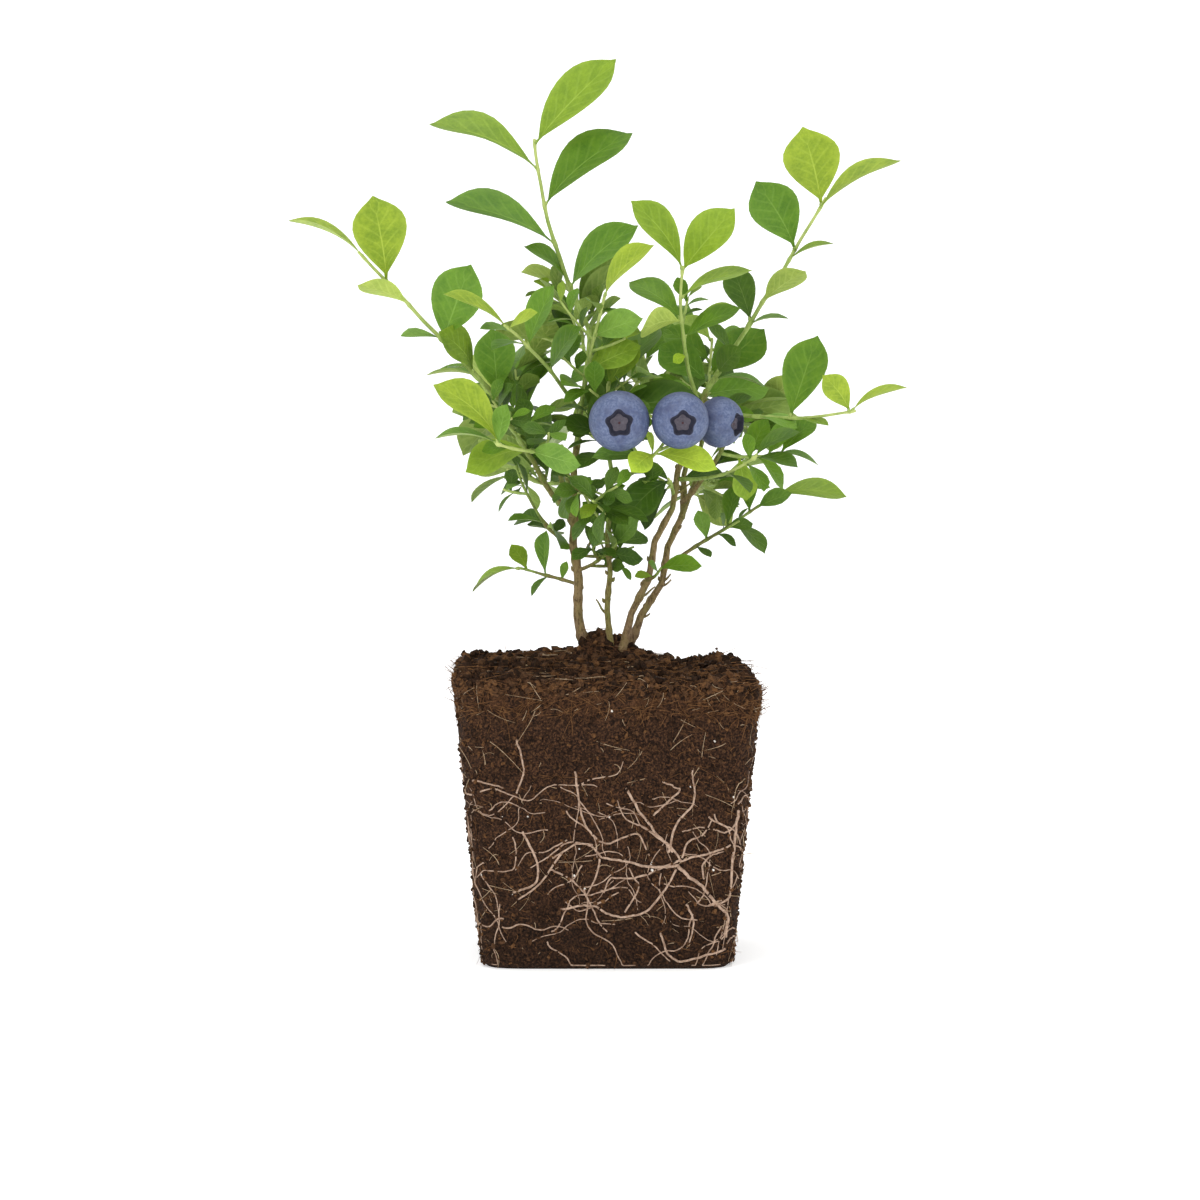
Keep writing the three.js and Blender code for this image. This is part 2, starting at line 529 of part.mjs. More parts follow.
// Side twigs leave a shoot on alternate sides, each with a few leaves of its own.
function sideTwigs(shoot, path, draw) {
  const { firstTwig, twigSpacing, twigLeaves, twigFirst, twigWidths: [footWidth, tipWidth] } = dealing;
  const twigs = [];
  for (let i = 0; i < (shoot.twigs ?? 0); i += 1) {
    const at = firstTwig + twigSpacing * (i + draw(-0.2, 0.2));
    const tangent = path.getTangent(at);
    const side = squareTo(vector(shoot.spread ?? across), tangent).multiplyScalar(i % 2 ? 1 : -1);
    const front = side.clone().cross(tangent);
    const foot = path.getPoint(at);
    const reach = path.getLength() * draw(...dealing.twigReach);
    const tip = foot.clone()
      .addScaledVector(tangent.add(side), reach * Math.SQRT1_2)
      .addScaledVector(front, reach * dealing.twigLean * draw(-1, 1));
    const bow = side.multiplyScalar(reach * 0.06);
    const rows = drawnRows(twigLeaves, shoot.longest * 0.85, twigFirst, 1, draw);
    twigs.push({ path: limbPath(foot, tip, bow), footWidth, tipWidth, rows, ...twigDetail });
  }
  return twigs;
}

function growShoot(shoot) {
  const draw = seeded(shoot.seed);
  growLimb({ ...shoot, footWidth: shoot.width, tipWidth: shoot.width * tipShare, ...shootDetail });
  const rows = shoot.leaves ?? drawnRows(shoot.count, shoot.longest, shoot.first, shoot.crowding, draw);
  const main = { ...grown[shoot.name], rows };
  const { path } = main;
  const leaves = dressTwig(main, shoot, draw);
  const twigs = sideTwigs(shoot, path, draw);
  twigs.forEach((twig) => leaves.push(...dressTwig(twig, shoot, draw)));
  return { twigs: [main, ...twigs], leaves };
}

// Twigs and leaves fused into one solid, cut back from the limb that carries them.
function shootSolid(shoot, parts = []) {
  const { twigs, leaves } = growShoot(shoot);
  const pieces = [...twigs.map((twig) => limbSolid(twig)), ...leaves.map(leafSolid), ...parts];
  const joined = pieces.reduce((whole, piece) => whole.add(piece));
  return joined.subtract(limbSolid(grown[shoot.parent], clearance));
}

function berryParts() {
  const main = limbPath(startOn(truss.parent, truss.at), vector(truss.tip), vector(truss.bow));
  return truss.berries.flatMap((berry) => {
    const facing = vector(berry.facing).normalize();
    const back = vector(berry.centre).addScaledVector(facing, -berry.width * 0.4);
    const foot = main.getPoint(berry.from);
    const path = limbPath(foot, back, vector(truss.pedicelBow));
    const widths = { footWidth: truss.pedicelWidth, tipWidth: truss.pedicelWidth * 1.2 };
    return [limbSolid({ path, ...widths, ...twigDetail }), berrySolid(berry)];
  });
}

// ---- the plant ----

const paint = (color, roughness) => new THREE.MeshStandardMaterial({ color, roughness, metalness: 0 });
const peat = () => paint(0x46301f, 1);
const bark = () => paint(0x86765a, 0.85);
const foliage = () => paint(0x7fa63c, 0.5);
const bloom = () => paint(0x6f7c9a, 0.6);

const plant = new THREE.Group();

for (const limb of limbs) {
  growLimb({ ...limb, ...limbDetail });
}

let rootBall = soilSolid();
for (const limb of limbs) {
  const solid = limbSolid(grown[limb.name]);
  if (limb.parent) {
    plant.add(toMesh(limb.name, solid.subtract(limbSolid(grown[limb.parent], clearance)), bark()));
  } else {
    plant.add(toMesh(limb.name, solid, bark()));
    rootBall = rootBall.subtract(limbSolid(grown[limb.name], clearance));
  }
}
plant.add(toMesh('root_ball', rootBall, peat()));

plant.add(toMesh(truss.name, shootSolid(truss, berryParts()), bloom()));
for (const shoot of shoots) {
  plant.add(toMesh(shoot.name, shootSolid(shoot), foliage()));
}

export default plant;
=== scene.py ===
import json
import math

import bpy
import numpy as np
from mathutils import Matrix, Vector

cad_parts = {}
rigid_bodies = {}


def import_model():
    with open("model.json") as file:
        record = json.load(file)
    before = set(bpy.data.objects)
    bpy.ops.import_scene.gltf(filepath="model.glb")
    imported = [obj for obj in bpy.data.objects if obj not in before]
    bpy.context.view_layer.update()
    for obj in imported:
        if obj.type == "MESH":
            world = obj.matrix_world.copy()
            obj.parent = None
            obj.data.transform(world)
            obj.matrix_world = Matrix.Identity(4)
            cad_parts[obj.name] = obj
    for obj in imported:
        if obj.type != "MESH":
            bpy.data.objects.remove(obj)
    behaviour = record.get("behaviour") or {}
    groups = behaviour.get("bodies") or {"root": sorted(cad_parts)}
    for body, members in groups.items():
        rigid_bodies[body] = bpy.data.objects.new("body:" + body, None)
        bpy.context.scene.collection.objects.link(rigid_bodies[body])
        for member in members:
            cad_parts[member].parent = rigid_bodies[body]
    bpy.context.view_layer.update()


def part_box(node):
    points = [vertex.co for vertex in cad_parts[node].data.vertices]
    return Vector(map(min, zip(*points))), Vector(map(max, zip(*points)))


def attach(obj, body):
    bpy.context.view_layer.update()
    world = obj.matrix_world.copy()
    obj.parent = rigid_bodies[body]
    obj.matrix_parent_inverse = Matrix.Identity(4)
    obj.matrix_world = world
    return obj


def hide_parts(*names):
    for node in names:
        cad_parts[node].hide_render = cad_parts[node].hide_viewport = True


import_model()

# A young blueberry bush on its bare root ball, with three ripe berries.
# Shapes are worked out in millimetres, +Z up and -Y the front, and made into meshes in metres.

scene = bpy.context.scene
scene.view_settings.view_transform = "Standard"
mm = 0.001


cameraSetup = {"target": (-2, 0, 102.5), "elevation": 4, "distance": 1300, "lens": 134.5}


def placeCamera(setup):
    lift = math.radians(setup["elevation"])
    x, y, z = setup["target"]
    lens = bpy.data.cameras.new("camera")
    lens.lens = setup["lens"]
    camera = bpy.data.objects.new("camera", lens)
    camera.location = (x * mm, (y - setup["distance"] * math.cos(lift)) * mm,
                       (z + setup["distance"] * math.sin(lift)) * mm)
    camera.rotation_euler = (math.pi / 2 - lift, 0, 0)
    scene.collection.objects.link(camera)
    scene.camera = camera


placeCamera(cameraSetup)
print("camera placed")


class Wire:  # a socket that is added to and multiplied in Python, which adds Math nodes
    def __init__(self, board, socket):
        self.board, self.socket = board, socket

    def maths(self, operation, *values):
        return self.board.add("Math", {"operation": operation}, dict(enumerate(values)))

    def __add__(self, other):
        return self.maths("ADD", self, other)

    def __radd__(self, other):
        return self.maths("ADD", other, self)

    def __sub__(self, other):
        return self.maths("SUBTRACT", self, other)

    def __rsub__(self, other):
        return self.maths("SUBTRACT", other, self)

    def __mul__(self, other):
        return self.maths("MULTIPLY", self, other)

    def __rmul__(self, other):
        return self.maths("MULTIPLY", other, self)

    def __pow__(self, other):
        return self.maths("POWER", self, other)

    def __abs__(self):
        return self.maths("ABSOLUTE", self)

    def fraction(self):
        return self.maths("FRACT", self)

    def smooth(self, low, high):  # 0 below low, 1 above high, and an S between
        settings = {"interpolation_type": "SMOOTHSTEP"}
        return self.board.add("MapRange", settings, {"Value": self, "From Min": low, "From Max": high})


class Board:  # the nodes of one material
    def __init__(self, name):
        self.material = bpy.data.materials.new(name)
        self.material.use_nodes = True
        self.tree = self.material.node_tree
        self.tree.nodes.clear()

    def add(self, kind, settings=None, sockets=None, output=0):
        node = self.tree.nodes.new("ShaderNode" + kind)
        for key, value in (settings or {}).items():
            if key == "stops":
                self.setStops(node.color_ramp.elements, value)
            else:
                setattr(node, key, value)
        for key, value in (sockets or {}).items():
            if isinstance(value, Wire):
                self.tree.links.new(value.socket, node.inputs[key])
            else:
                node.inputs[key].default_value = value
        return Wire(self, node.outputs[output]) if node.outputs else None

    def setStops(self, elements, stops):
        elements.remove(elements[1])
        for place, colour in stops[1:]:
            elements.new(place).color = colour
        elements[0].position, elements[0].color = stops[0]

    def mix(self, factor, first, second):  # of two colours
        return self.add("Mix", {"data_type": "RGBA"}, {0: factor, 6: first, 7: second}, 2)

    def place(self, scale):  # object coordinates in millimetres, times the scale on each axis
        spot = self.add("TexCoord", output="Object").socket
        return self.add("Mapping", None, {"Vector": Wire(self, spot), "Scale": [s / mm for s in scale]})

    # 0 to 1, in patches of a size in mm
    def noise(self, size, detail=3, stretch=(1, 1, 1), roughness=0.55):
        where = self.place([s / size for s in stretch])
        return self.add("TexNoise", None,
                        {"Vector": where, "Scale": 1, "Detail": detail, "Roughness": roughness})

    def mark(self, name):  # a number that the mesh carries at each point
        return self.add("Attribute", {"attribute_name": name}, output="Fac")

    def bump(self, height, depth, strength=1.0):  # depth in mm
        return self.add("Bump", None, {"Height": height, "Distance": depth * mm, "Strength": strength})

    def finish(self, sockets):
        shader = self.add("BsdfPrincipled", None, sockets)
        self.add("OutputMaterial", None, {"Surface": shader})
        return self.material


def colour(red, green, blue):  # screen values 0 to 255 as a shader colour
    values = np.array([red, green, blue]) / 255
    linear = np.where(values < 0.04045, values / 12.92, ((values + 0.055) / 1.055) ** 2.4)
    return (*linear.tolist(), 1.0)


def unit(vectors):
    return vectors / np.linalg.norm(vectors, axis=-1, keepdims=True)


def squareTo(direction, axis):  # direction less its part along the unit vector axis
    return unit(direction - np.sum(direction * axis, -1, keepdims=True) * axis)


def seeded(seed):  # Park and Miller's generator: a draw between two values, the same on every run
    state = [7919 * seed + 104729]

    def draw(low, high):
        state[0] = (state[0] * 16807) % 2147483647
        return low + ((high - low) * state[0]) / 2147483647

    return draw


def limbPath(foot, tip, bow):  # the parabola from foot to tip whose middle stands off by bow
    foot, tip = np.array(foot, float), np.array(tip, float)
    return foot, (foot + tip) * 0.5 + np.array(bow, float) * 2, tip


def pointOn(path, t):  # (1 - t)^2 foot + 2 (1 - t) t middle + t^2 tip
    foot, middle, tip = path
    t = np.asarray(t, float)[..., None]
    return (1 - t) ** 2 * foot + 2 * (1 - t) * t * middle + t ** 2 * tip


def tangentOn(path, t):  # the direction from just before t to just after it
    t = np.asarray(t, float)
    return unit(pointOn(path, np.minimum(t + 1e-4, 1)) - pointOn(path, np.maximum(t - 1e-4, 0)))


def lengthOf(path):  # the sum of 200 straight steps
    steps = np.diff(pointOn(path, np.linspace(0, 1, 201)), axis=0)
    return np.linalg.norm(steps, axis=1).sum()


def hashed(lattice, seed):  # a fixed draw from -1 to 1 for each whole-numbered point
    x, y, z = (lattice[..., i].astype(np.int64) for i in range(3))
    mixed = (x * 73856093) ^ (y * 19349663) ^ (z * 83492791) ^ (seed * 26544357)
    mixed = ((mixed ^ (mixed >> 13)) * 1274126177) & 0xFFFFFFFF
    mixed = mixed ^ (mixed >> 15)
    return (mixed & 0xFFFF) / 32767.5 - 1


# Hashed lattice draws, blended by the S curve t^2 (3 - 2 t) on each axis.
def cloud(points, cell, seed=0):
    spot = points / cell
    low = np.floor(spot)
    share = (spot - low) ** 2 * (3 - 2 * (spot - low))
    total = np.zeros(points.shape[:-1])
    for corner in np.ndindex(2, 2, 2):
        weight = np.prod(np.where(np.array(corner) == 1, share, 1 - share), axis=-1)
        total += weight * hashed(low + np.array(corner), seed)
    return total


def fractal(points, cell, octaves, seed=0):  # clouds of halving cells and halving heights
    return sum(cloud(points, cell / 2 ** i, seed + i) / 2 ** i for i in range(octaves))


def gridFaces(ids, flip=False):  # a face for each square of neighbouring ids
    corners = [ids[:-1, :-1], ids[:-1, 1:], ids[1:, 1:], ids[1:, :-1]]
    faces = np.stack(corners, axis=-1).reshape(-1, 4)
    return faces[:, [0, 3, 2, 1]] if flip else faces  # split on the same diagonal


def shape(points, faces, finish=0, uv=None, **marks):  # one part of a piece
    points = points.reshape(-1, 3)
    count = len(points)
    return {
        "points": points,
        "faces": faces,
        "finish": np.broadcast_to(finish, len(faces)),
        "uv": np.zeros((count, 2)) if uv is None else uv,
        "marks": {name: np.broadcast_to(value, count) for name, value in marks.items()},
    }


def makePiece(name, shapes, finishes, nodes=(), sharp=60):
    offsets = np.cumsum([0] + [len(s["points"]) for s in shapes])[:-1]
    points = np.concatenate([s["points"] for s in shapes]) * mm
    faces = np.concatenate([s["faces"] + offset for s, offset in zip(shapes, offsets)])
    finish = np.concatenate([s["finish"] for s in shapes])
    # a corner that repeats the next one is dropped, so squares at a pole become triangles
    kept = faces != np.roll(faces, -1, axis=1)
    whole = kept.sum(axis=1) > 2
    faces, kept, finish = faces[whole], kept[whole], finish[whole]
    corners = faces[kept]
    sizes = kept.sum(axis=1)
    used, slots = np.unique(finish, return_inverse=True)

    mesh = bpy.data.meshes.new(name)
    mesh.vertices.add(len(points))
    mesh.vertices.foreach_set("co", points.astype(np.float32).ravel())
    mesh.loops.add(len(corners))
    mesh.loops.foreach_set("vertex_index", corners.astype(np.int32))
    mesh.polygons.add(len(sizes))
    mesh.polygons.foreach_set("loop_start", (np.cumsum(sizes) - sizes).astype(np.int32))
    mesh.update(calc_edges=True)
    for index in used:
        mesh.materials.append(finishes[index])
    mesh.polygons.foreach_set("material_index", slots.astype(np.int32))
    mesh.polygons.foreach_set("use_smooth", np.ones(len(sizes), bool))
    mesh.set_sharp_from_angle(angle=math.radians(sharp))
    uv = np.concatenate([s["uv"] for s in shapes])
    if uv.any():
        mesh.uv_layers.new(name="blade").data.foreach_set("uv", uv[corners].astype(np.float32).ravel())
    for mark in shapes[0]["marks"]:
        values = np.concatenate([s["marks"][mark] for s in shapes])
        mesh.attributes.new(mark, "FLOAT", "POINT").data.foreach_set("value", values.astype(np.float32))
    piece = bpy.data.objects.new(name, mesh)
    scene.collection.objects.link(piece)
    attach(piece, "root")
    if nodes:
        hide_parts(*nodes)


def ringIds(rings, sides):  # ids of a closed tube's points, ring by ring, the first column repeated
    return (np.arange(rings)[:, None] * sides + np.arange(sides + 1) % sides)


# A tube: rings of a radius round a line, each square to the line's direction, with rounded ends.
def tube(line, radius, sides, age, relief=None):
    line = np.asarray(line, float)
    radius = np.broadcast_to(radius, len(line)).astype(float)
    ahead = unit(np.gradient(line, axis=0))
    run = np.abs(line[-1] - line[0])
    side = squareTo(np.eye(3)[np.argmin(run)], ahead)
    front = np.cross(side, ahead)
    turn = np.arange(sides) * 2 * np.pi / sides
    around = side[:, None] * np.cos(turn)[:, None] + front[:, None] * np.sin(turn)[:, None]
    rings = line[:, None] + around * radius[:, None, None]
    if relief is not None:
        rings = rings + around * relief(rings, radius[:, None])[..., None]
    ends = np.stack([line[0] - ahead[0] * radius[0] * 0.5, line[-1] + ahead[-1] * radius[-1] * 0.5])
    ids = ringIds(len(line), sides)
    count = len(line) * sides
    ids = np.concatenate([np.full((1, sides + 1), count), ids, np.full((1, sides + 1), count + 1)])
    ages = np.broadcast_to(age, len(line))
    points = np.concatenate([rings.reshape(-1, 3), ends])
    return shape(points, gridFaces(ids, flip=True),
                 age=np.concatenate([np.repeat(ages, sides), ages[[0, -1]]]))


leafForm = {
    "widthShare": 0.54, "thickness": 0.34, "petiole": 0.06, "petioleWidth": 0.9, "rootWidth": 0.5,
    "foldRise": 0.12, "arch": 0.035,
}

dealing = {
    "leafGap": 2.2, "limbGap": 1.3,  # between a leaf and the next leaf or a limb, when it grows
    "lastLeaf": 0.97, "tries": 6, "turnStep": 12, "standoff": (42, 72), "roll": (-45, 60),
    "lean": (-50, 50), "lengthSpread": (0.85, 1.1), "widthSpread": (0.94, 1.12), "archSpread": (0.2, 1.8),
    "foldSpread": (0.4, 1.6), "endSize": 0.62, "firstTwig": 0.3, "twigSpacing": 0.28,
    "twigReach": (0.34, 0.46), "twigLean": 0.4, "twigLeaves": 3, "twigLeafSize": 0.85, "twigFirst": 0.35,
    "twigWidths": (1.1, 0.9),
}

light = (0, -0.8, 0.6)  # the side that the front leaves turn their faces to
skyLight = (0, 0.3, 0.95)
across = (1, 0, 0)
tipShare = 0.66

limbs = [
    {"name": "stem_left", "foot": (-6.6, 0, 86.5), "tip": (-7.8, 0, 158.5), "bow": (-2.1, 1, 0),
     "widths": (3.1, 1.9), "flare": 0.5, "age": (1, 0.5), "kink": 1.3, "spurs": 14},
    {"name": "stem_middle", "foot": (0.9, -4, 88.5), "tip": (1.5, -6, 141), "bow": (-0.8, 1, 0),
     "widths": (1.9, 1.5), "flare": 0.3, "age": (0.8, 0.4), "kink": 1.2, "spurs": 12},
    {"name": "stem_right_front", "foot": (4, -3, 88), "tip": (28.6, -4, 163.5), "bow": (0.4, -1.5, 0),
     "widths": (2.3, 1.6), "flare": 0.4, "age": (0.95, 0.55), "kink": 1.9, "spurs": 16},
    {"name": "stem_right_back", "foot": (5.2, 3.4, 87.5), "tip": (24, 12, 148), "bow": (3.8, -1.5, -1),
     "widths": (2.4, 1.6), "flare": 0.4, "age": (0.95, 0.6), "kink": 1.9, "spurs": 16},
    {"name": "bough_top", "parent": "stem_left", "at": 0.98, "tip": (-5.2, 5, 181), "bow": (0.8, 0.5, 0),
     "widths": (1.7, 1.5), "age": (0.45, 0.3), "kink": 0.5},
    {"name": "bough_left", "parent": "stem_left", "at": 0.55, "tip": (-30, -8, 160), "bow": (-1, 0, -2),
     "widths": (1.8, 1.5), "age": (0.7, 0.3), "kink": 1.0, "spurs": 6},
    {"name": "bough_front", "parent": "stem_left", "at": 0.62, "tip": (-13, -22, 148), "bow": (0, -2, -1),
     "widths": (1.7, 1.4), "age": (0.7, 0.35), "kink": 1.0, "spurs": 5},
    {"name": "bough_back_left", "parent": "stem_left", "at": 0.5, "tip": (-15, 26, 150),
     "bow": (-1, 2, -2), "widths": (1.8, 1.4), "age": (0.7, 0.45), "kink": 0.6},
    {"name": "bough_back_right", "parent": "stem_right_back", "at": 0.6, "tip": (29, 31, 152),
     "bow": (1, 2, -2), "widths": (1.8, 1.4), "age": (0.75, 0.45), "kink": 0.6},
    {"name": "bough_right", "parent": "stem_right_back", "at": 0.72, "tip": (36.7, -10, 157),
     "bow": (1.5, -1, -1.5), "widths": (1.7, 1.4), "age": (0.8, 0.5), "kink": 0.6},
]

# Leafy shoots. at is the share of the parent where a shoot starts. leaves lists its leaves, each as
# (share of the twig, standoff from the twig, length, roll from the light to the sky, lean to the front,
# green), in millimetres and degrees; a minus standoff is on the left. Where a count stands instead, the
# seed deals out that many leaves from the share "first" on; "twigs" is the number of side twigs.
shoots = [
    {"name": "leaves_top", "parent": "bough_top", "at": 0.99, "tip": (-20.9, 0, 235.5),
     "bow": (-2.8, 0, 0), "width": 1.5, "seed": 11,
     "leaves": [(0.23, -29, 18, 35, 24, "green"), (0.22, 69, 28, 19, 16, "mid"),
                (0.45, -52, 34, 30, 0, "mid"), (0.65, 63, 33, 20, 0, "green"),
                (0.84, -59, 34, 32, 0, "bright"), (0.97, 49, 34, 18, 0, "bright")]},
    {"name": "leaves_far_left", "parent": "bough_left", "at": 0.99, "tip": (-70.5, -22, 203),
     "bow": (-0.5, 0, 0.5), "width": 1.5, "seed": 21,
     "leaves": [(0.04, 39, 22, 5, 12, "mid"), (0.17, -46, 15, 50, 0, "bright"),
                (0.2, 24, 19, 0, 70, "bright"), (0.41, 62, 28, -15, 25, "mid"),
                (0.42, -42, 12, 30, 20, "dull"), (0.64, -26, 17, 86, 40, "lime"),
                (0.8, 38, 29, -3, 25, "lime"), (0.96, -26, 24, 49, -22, "lime")]},
    {"name": "leaves_left_high", "parent": "stem_left", "at": 0.98, "tip": (-28.8, -37, 182.3),
     "bow": (0.5, 0, 1.5), "width": 1.3, "seed": 31,
     "leaves": [(0.42, 58, 18, 21, -21, "green"), (0.72, -38, 13, 35, 41, "mid"),
                (0.71, 61, 20, 28, -41, "mid"), (0.87, -37, 11, 32, 7, "dull"),
                (0.95, 72, 12, 12, -3, "lime"), (0.95, -42, 21, 38, -29, "lime")]},
    {"name": "leaves_centre", "parent": "stem_left", "at": 0.84, "tip": (-0.4, -21, 191.5),
     "bow": (-1, -3, 0), "width": 1.3, "seed": 43,
     "leaves": [(0.36, -60, 15, 5, 20, "green"), (0.5, 50, 18, -5, 10, "bright"),
                (0.72, 52, 17, -10, 28, "dull"), (0.97, 28, 21, 30, 10, "lime"),
                (0.86, -60, 11, 20, 60, "green")]},
    {"name": "leaves_left", "parent": "bough_left", "at": 0.6, "tip": (-36, -25, 157), "bow": (1, 0, 3),
     "width": 1.2, "seed": 51,
     "leaves": [(0.04, 55, 14, 14, -31, "deep"), (0.27, 40, 15.5, 65, -63, "dark"),
                (0.38, 89, 8, 15, 30, "dark"), (0.56, -42, 10, 10, 29, "green"),
                (0.8, -56, 13.5, 32, -48, "dark"), (0.96, 39, 9, 11, -78, "green")]},
    {"name": "leaves_low_left", "parent": "stem_left", "at": 0.285, "tip": (-25.6, 12, 111),
     "bow": (-1, 0, 0.5), "spread": (0, 0, 1), "width": 1.1, "seed": 61,
     "leaves": [(0.22, 100, 7, 20, 10, "green"), (0.42, -66, 8, 38, 20, "dark"),
                (0.48, 80, 13, 50, 0, "green"), (0.84, 80, 10, -30, 40, "bright"),
                (0.97, -38, 17, 42, 30, "bright")]},
    {"name": "leaves_left_low", "parent": "stem_left", "at": 0.42, "tip": (-26.5, 12, 141),
     "bow": (-2, 1, -2), "width": 1.1, "seed": 71,
     "leaves": [(0.36, -140, 15, 60, 10, "green"), (0.38, -60, 12, 40, 25, "green"),
                (0.42, -52, 13, 0, -40, "dark"), (0.72, 14, 10, 62, 60, "dark"),
                (0.8, -90, 8, 36, 40, "dull"), (0.97, 40, 8, 30, 0, "dark")]},
    {"name": "leaves_right_high", "parent": "stem_right_front", "at": 0.93, "tip": (21.6, -14, 199),
     "bow": (-2.4, 0, -0.5), "width": 1.3, "seed": 81,
     "leaves": [(0.38, -90, 6, -20, 50, "vivid"), (0.5, 68, 19, 25, 0, "green"),
                (0.62, -86, 17, 98, 40, "lime"), (0.63, -60, 20, 18, 12, "green"),
                (0.78, 68, 22, 36, 0, "bright"), (0.97, -41, 25, 20, 0, "bright"),
                (0.97, 34, 24, 5, 12, "bright")]},
    {"name": "leaves_far_right", "parent": "stem_right_front", "at": 0.99, "tip": (63.9, 17, 219),
     "bow": (0.5, 0, 0), "width": 1.5, "seed": 91,
     "leaves": [(0.06, 66, 15, 46, 0, "dull"), (0.1, 66, 15, -30, 55, "dark"),
                (0.2, -72, 11, 30, 14, "dark"), (0.36, -52, 17, -20, 20, "dark"),
                (0.34, 52, 12, 44, 10, "dull"), (0.46, 50, 17, 100, 55, "bright"),
                (0.73, -78, 27, -36, 50, "mid"), (0.68, 42, 14, 44, 10, "bright"),
                (0.94, 32, 28, 41, 16, "lime"), (0.96, -68, 28, -27, 60, "lime")]},
    {"name": "leaves_right", "parent": "bough_right", "at": 0.99, "tip": (70.5, -25, 158),
     "bow": (0, 0, -1.5), "spread": (0, 0, -1), "width": 1.2, "seed": 101,
     "leaves": [(0.2, 12, 13, 25, 30, "dull"), (0.46, -69, 25, 5, 0, "green"),
                (0.5, 14, 11, 34, 20, "bright"), (0.95, -100, 15, -20, 40, "lime"),
                (0.96, -28, 17.5, 42, -60, "lime")]},
    {"name": "leaves_right_mid", "parent": "bough_right", "at": 0.62, "tip": (51, 0, 145.5),
     "bow": (0, 0, -1.5), "spread": (0, 0, -1), "width": 1.1, "seed": 111,
     "leaves": [(0.3, 75, 13, 5, 10, "bright"), (0.45, -70, 13, 10, 20, "green"),
                (0.6, 55, 12, 30, 0, "green"), (0.76, -45, 13, 20, 10, "mid"),
                (0.9, 30, 13, 40, 0, "green"), (0.97, -25, 14, 10, 0, "green")]},
    {"name": "leaves_low_right", "parent": "stem_right_back", "at": 0.42, "tip": (50.5, 20, 132.5),
     "bow": (1, 0, 0.5), "width": 1.2, "seed": 121,
     "leaves": [(0.25, 86, 7, 25, 20, "dark"), (0.34, -75, 9, 10, 30, "dull"),
                (0.52, -44, 13, 36, 30, "green"), (0.56, 85, 14, 32, 0, "dark"),
                (0.72, -50, 11, 35, 20, "mid"), (0.97, 40, 21, 28, 0, "bright"),
                (0.8, 50, 12, 0, 50, "dull")]},
    {"name": "leaves_stem_foot", "parent": "stem_right_front", "at": 0.27, "tip": (15.6, -10, 112.5),
     "bow": (0.5, -1, -0.5), "width": 1.0, "seed": 131,
     "leaves": [(0.4, -100, 6, 10, 10, "bright"), (0.7, -60, 6, 10, 10, "green"),
                (0.97, 60, 12, 5, 10, "green")]},
    {"name": "leaves_fork", "parent": "stem_left", "at": 0.34, "tip": (2.9, -10, 119.8),
     "bow": (0.8, 0, -1), "width": 1.2, "seed": 271,
     "leaves": [(0.45, -60, 9, 20, 10, "green"), (0.97, 82, 13, 0, 10, "dark"),
                (0.94, 2, 13, -10, 35, "dull"), (0.85, -40, 10, 10, 10, "dark")]},
    {"name": "leaves_fork_left", "parent": "stem_left", "at": 0.37, "tip": (-1.4, 2, 125.5),
     "bow": (0.3, 0, -0.5), "width": 1.0, "seed": 281,
     "leaves": [(0.6, 70, 9, 30, 0, "green"), (0.8, -62, 11, 10, 30, "green"),
                (0.97, 20, 12, 10, 20, "dark")]},
    {"name": "leaves_middle_low", "parent": "stem_right_front", "at": 0.6, "tip": (17.5, -17, 138.5),
     "bow": (0, 0, 0.8), "spread": (0, 0, 1), "width": 1.2, "seed": 141,
     "leaves": [(0.68, -60, 20, -13, -39, "deep"), (0.41, -105, 15, 33, -31, "deep"),
                (0.62, 75, 10, 23, -62, "dark")]},
    {"name": "leaves_middle", "parent": "stem_middle", "at": 0.97, "tip": (0.5, -12, 166),
     "bow": (-1, 2, 0), "width": 1.3, "seed": 152, "twigs": 2, "longest": 20,
     "leaves": [(0.95, 30, 16, -7, -28, "bright"), (0.8, 56, 28, 36, -8, "dark"),
                (0.67, 79, 28, 13, -4, "deep"), (0.89, 32, 19.5, 56, -60, "green"),
                (0.95, -25, 15, 53, -49, "dark"), (0.36, -65, 16, 12, 24, "deep"),
                (0.2, -101, 12, 22, 30, "dark"), (0.47, 103, 14, 22, 3, "dark")]},
    {"name": "leaves_back_left", "parent": "bough_back_left", "at": 0.98, "tip": (-34, 48, 168),
     "bow": (-2, 2, -1), "lightTo": skyLight, "width": 1.3, "first": 0.15, "crowding": 0.9, "seed": 161,
     "twigs": 2, "count": 10, "longest": 25},
    {"name": "leaves_back_left_low", "parent": "bough_back_left", "at": 0.55, "tip": (-28, 40, 140),
     "bow": (-1, 1, -2), "lightTo": skyLight, "width": 1.1, "first": 0.2, "crowding": 1, "seed": 171,
     "twigs": 1, "count": 7, "longest": 20},
    {"name": "leaves_back_high", "parent": "bough_top", "at": 0.55, "tip": (-9, 32, 192),
     "bow": (0, 3, -2), "lightTo": skyLight, "width": 1.2, "first": 0.2, "crowding": 0.9, "seed": 181,
     "twigs": 1, "count": 9, "longest": 23},
    {"name": "leaves_back_centre", "parent": "stem_right_back", "at": 0.98, "tip": (10, 52, 178),
     "bow": (-2, 3, -3), "lightTo": skyLight, "width": 1.3, "first": 0.18, "crowding": 0.9, "seed": 191,
     "twigs": 2, "count": 9, "longest": 24},
    {"name": "leaves_back_right", "parent": "bough_back_right", "at": 0.98, "tip": (40, 52, 160),
     "bow": (1, 2, -2), "lightTo": skyLight, "width": 1.3, "first": 0.15, "crowding": 0.9, "seed": 208,
     "twigs": 2, "count": 10, "longest": 25},
    {"name": "leaves_back_right_low", "parent": "bough_back_right", "at": 0.5, "tip": (36, 44, 138),
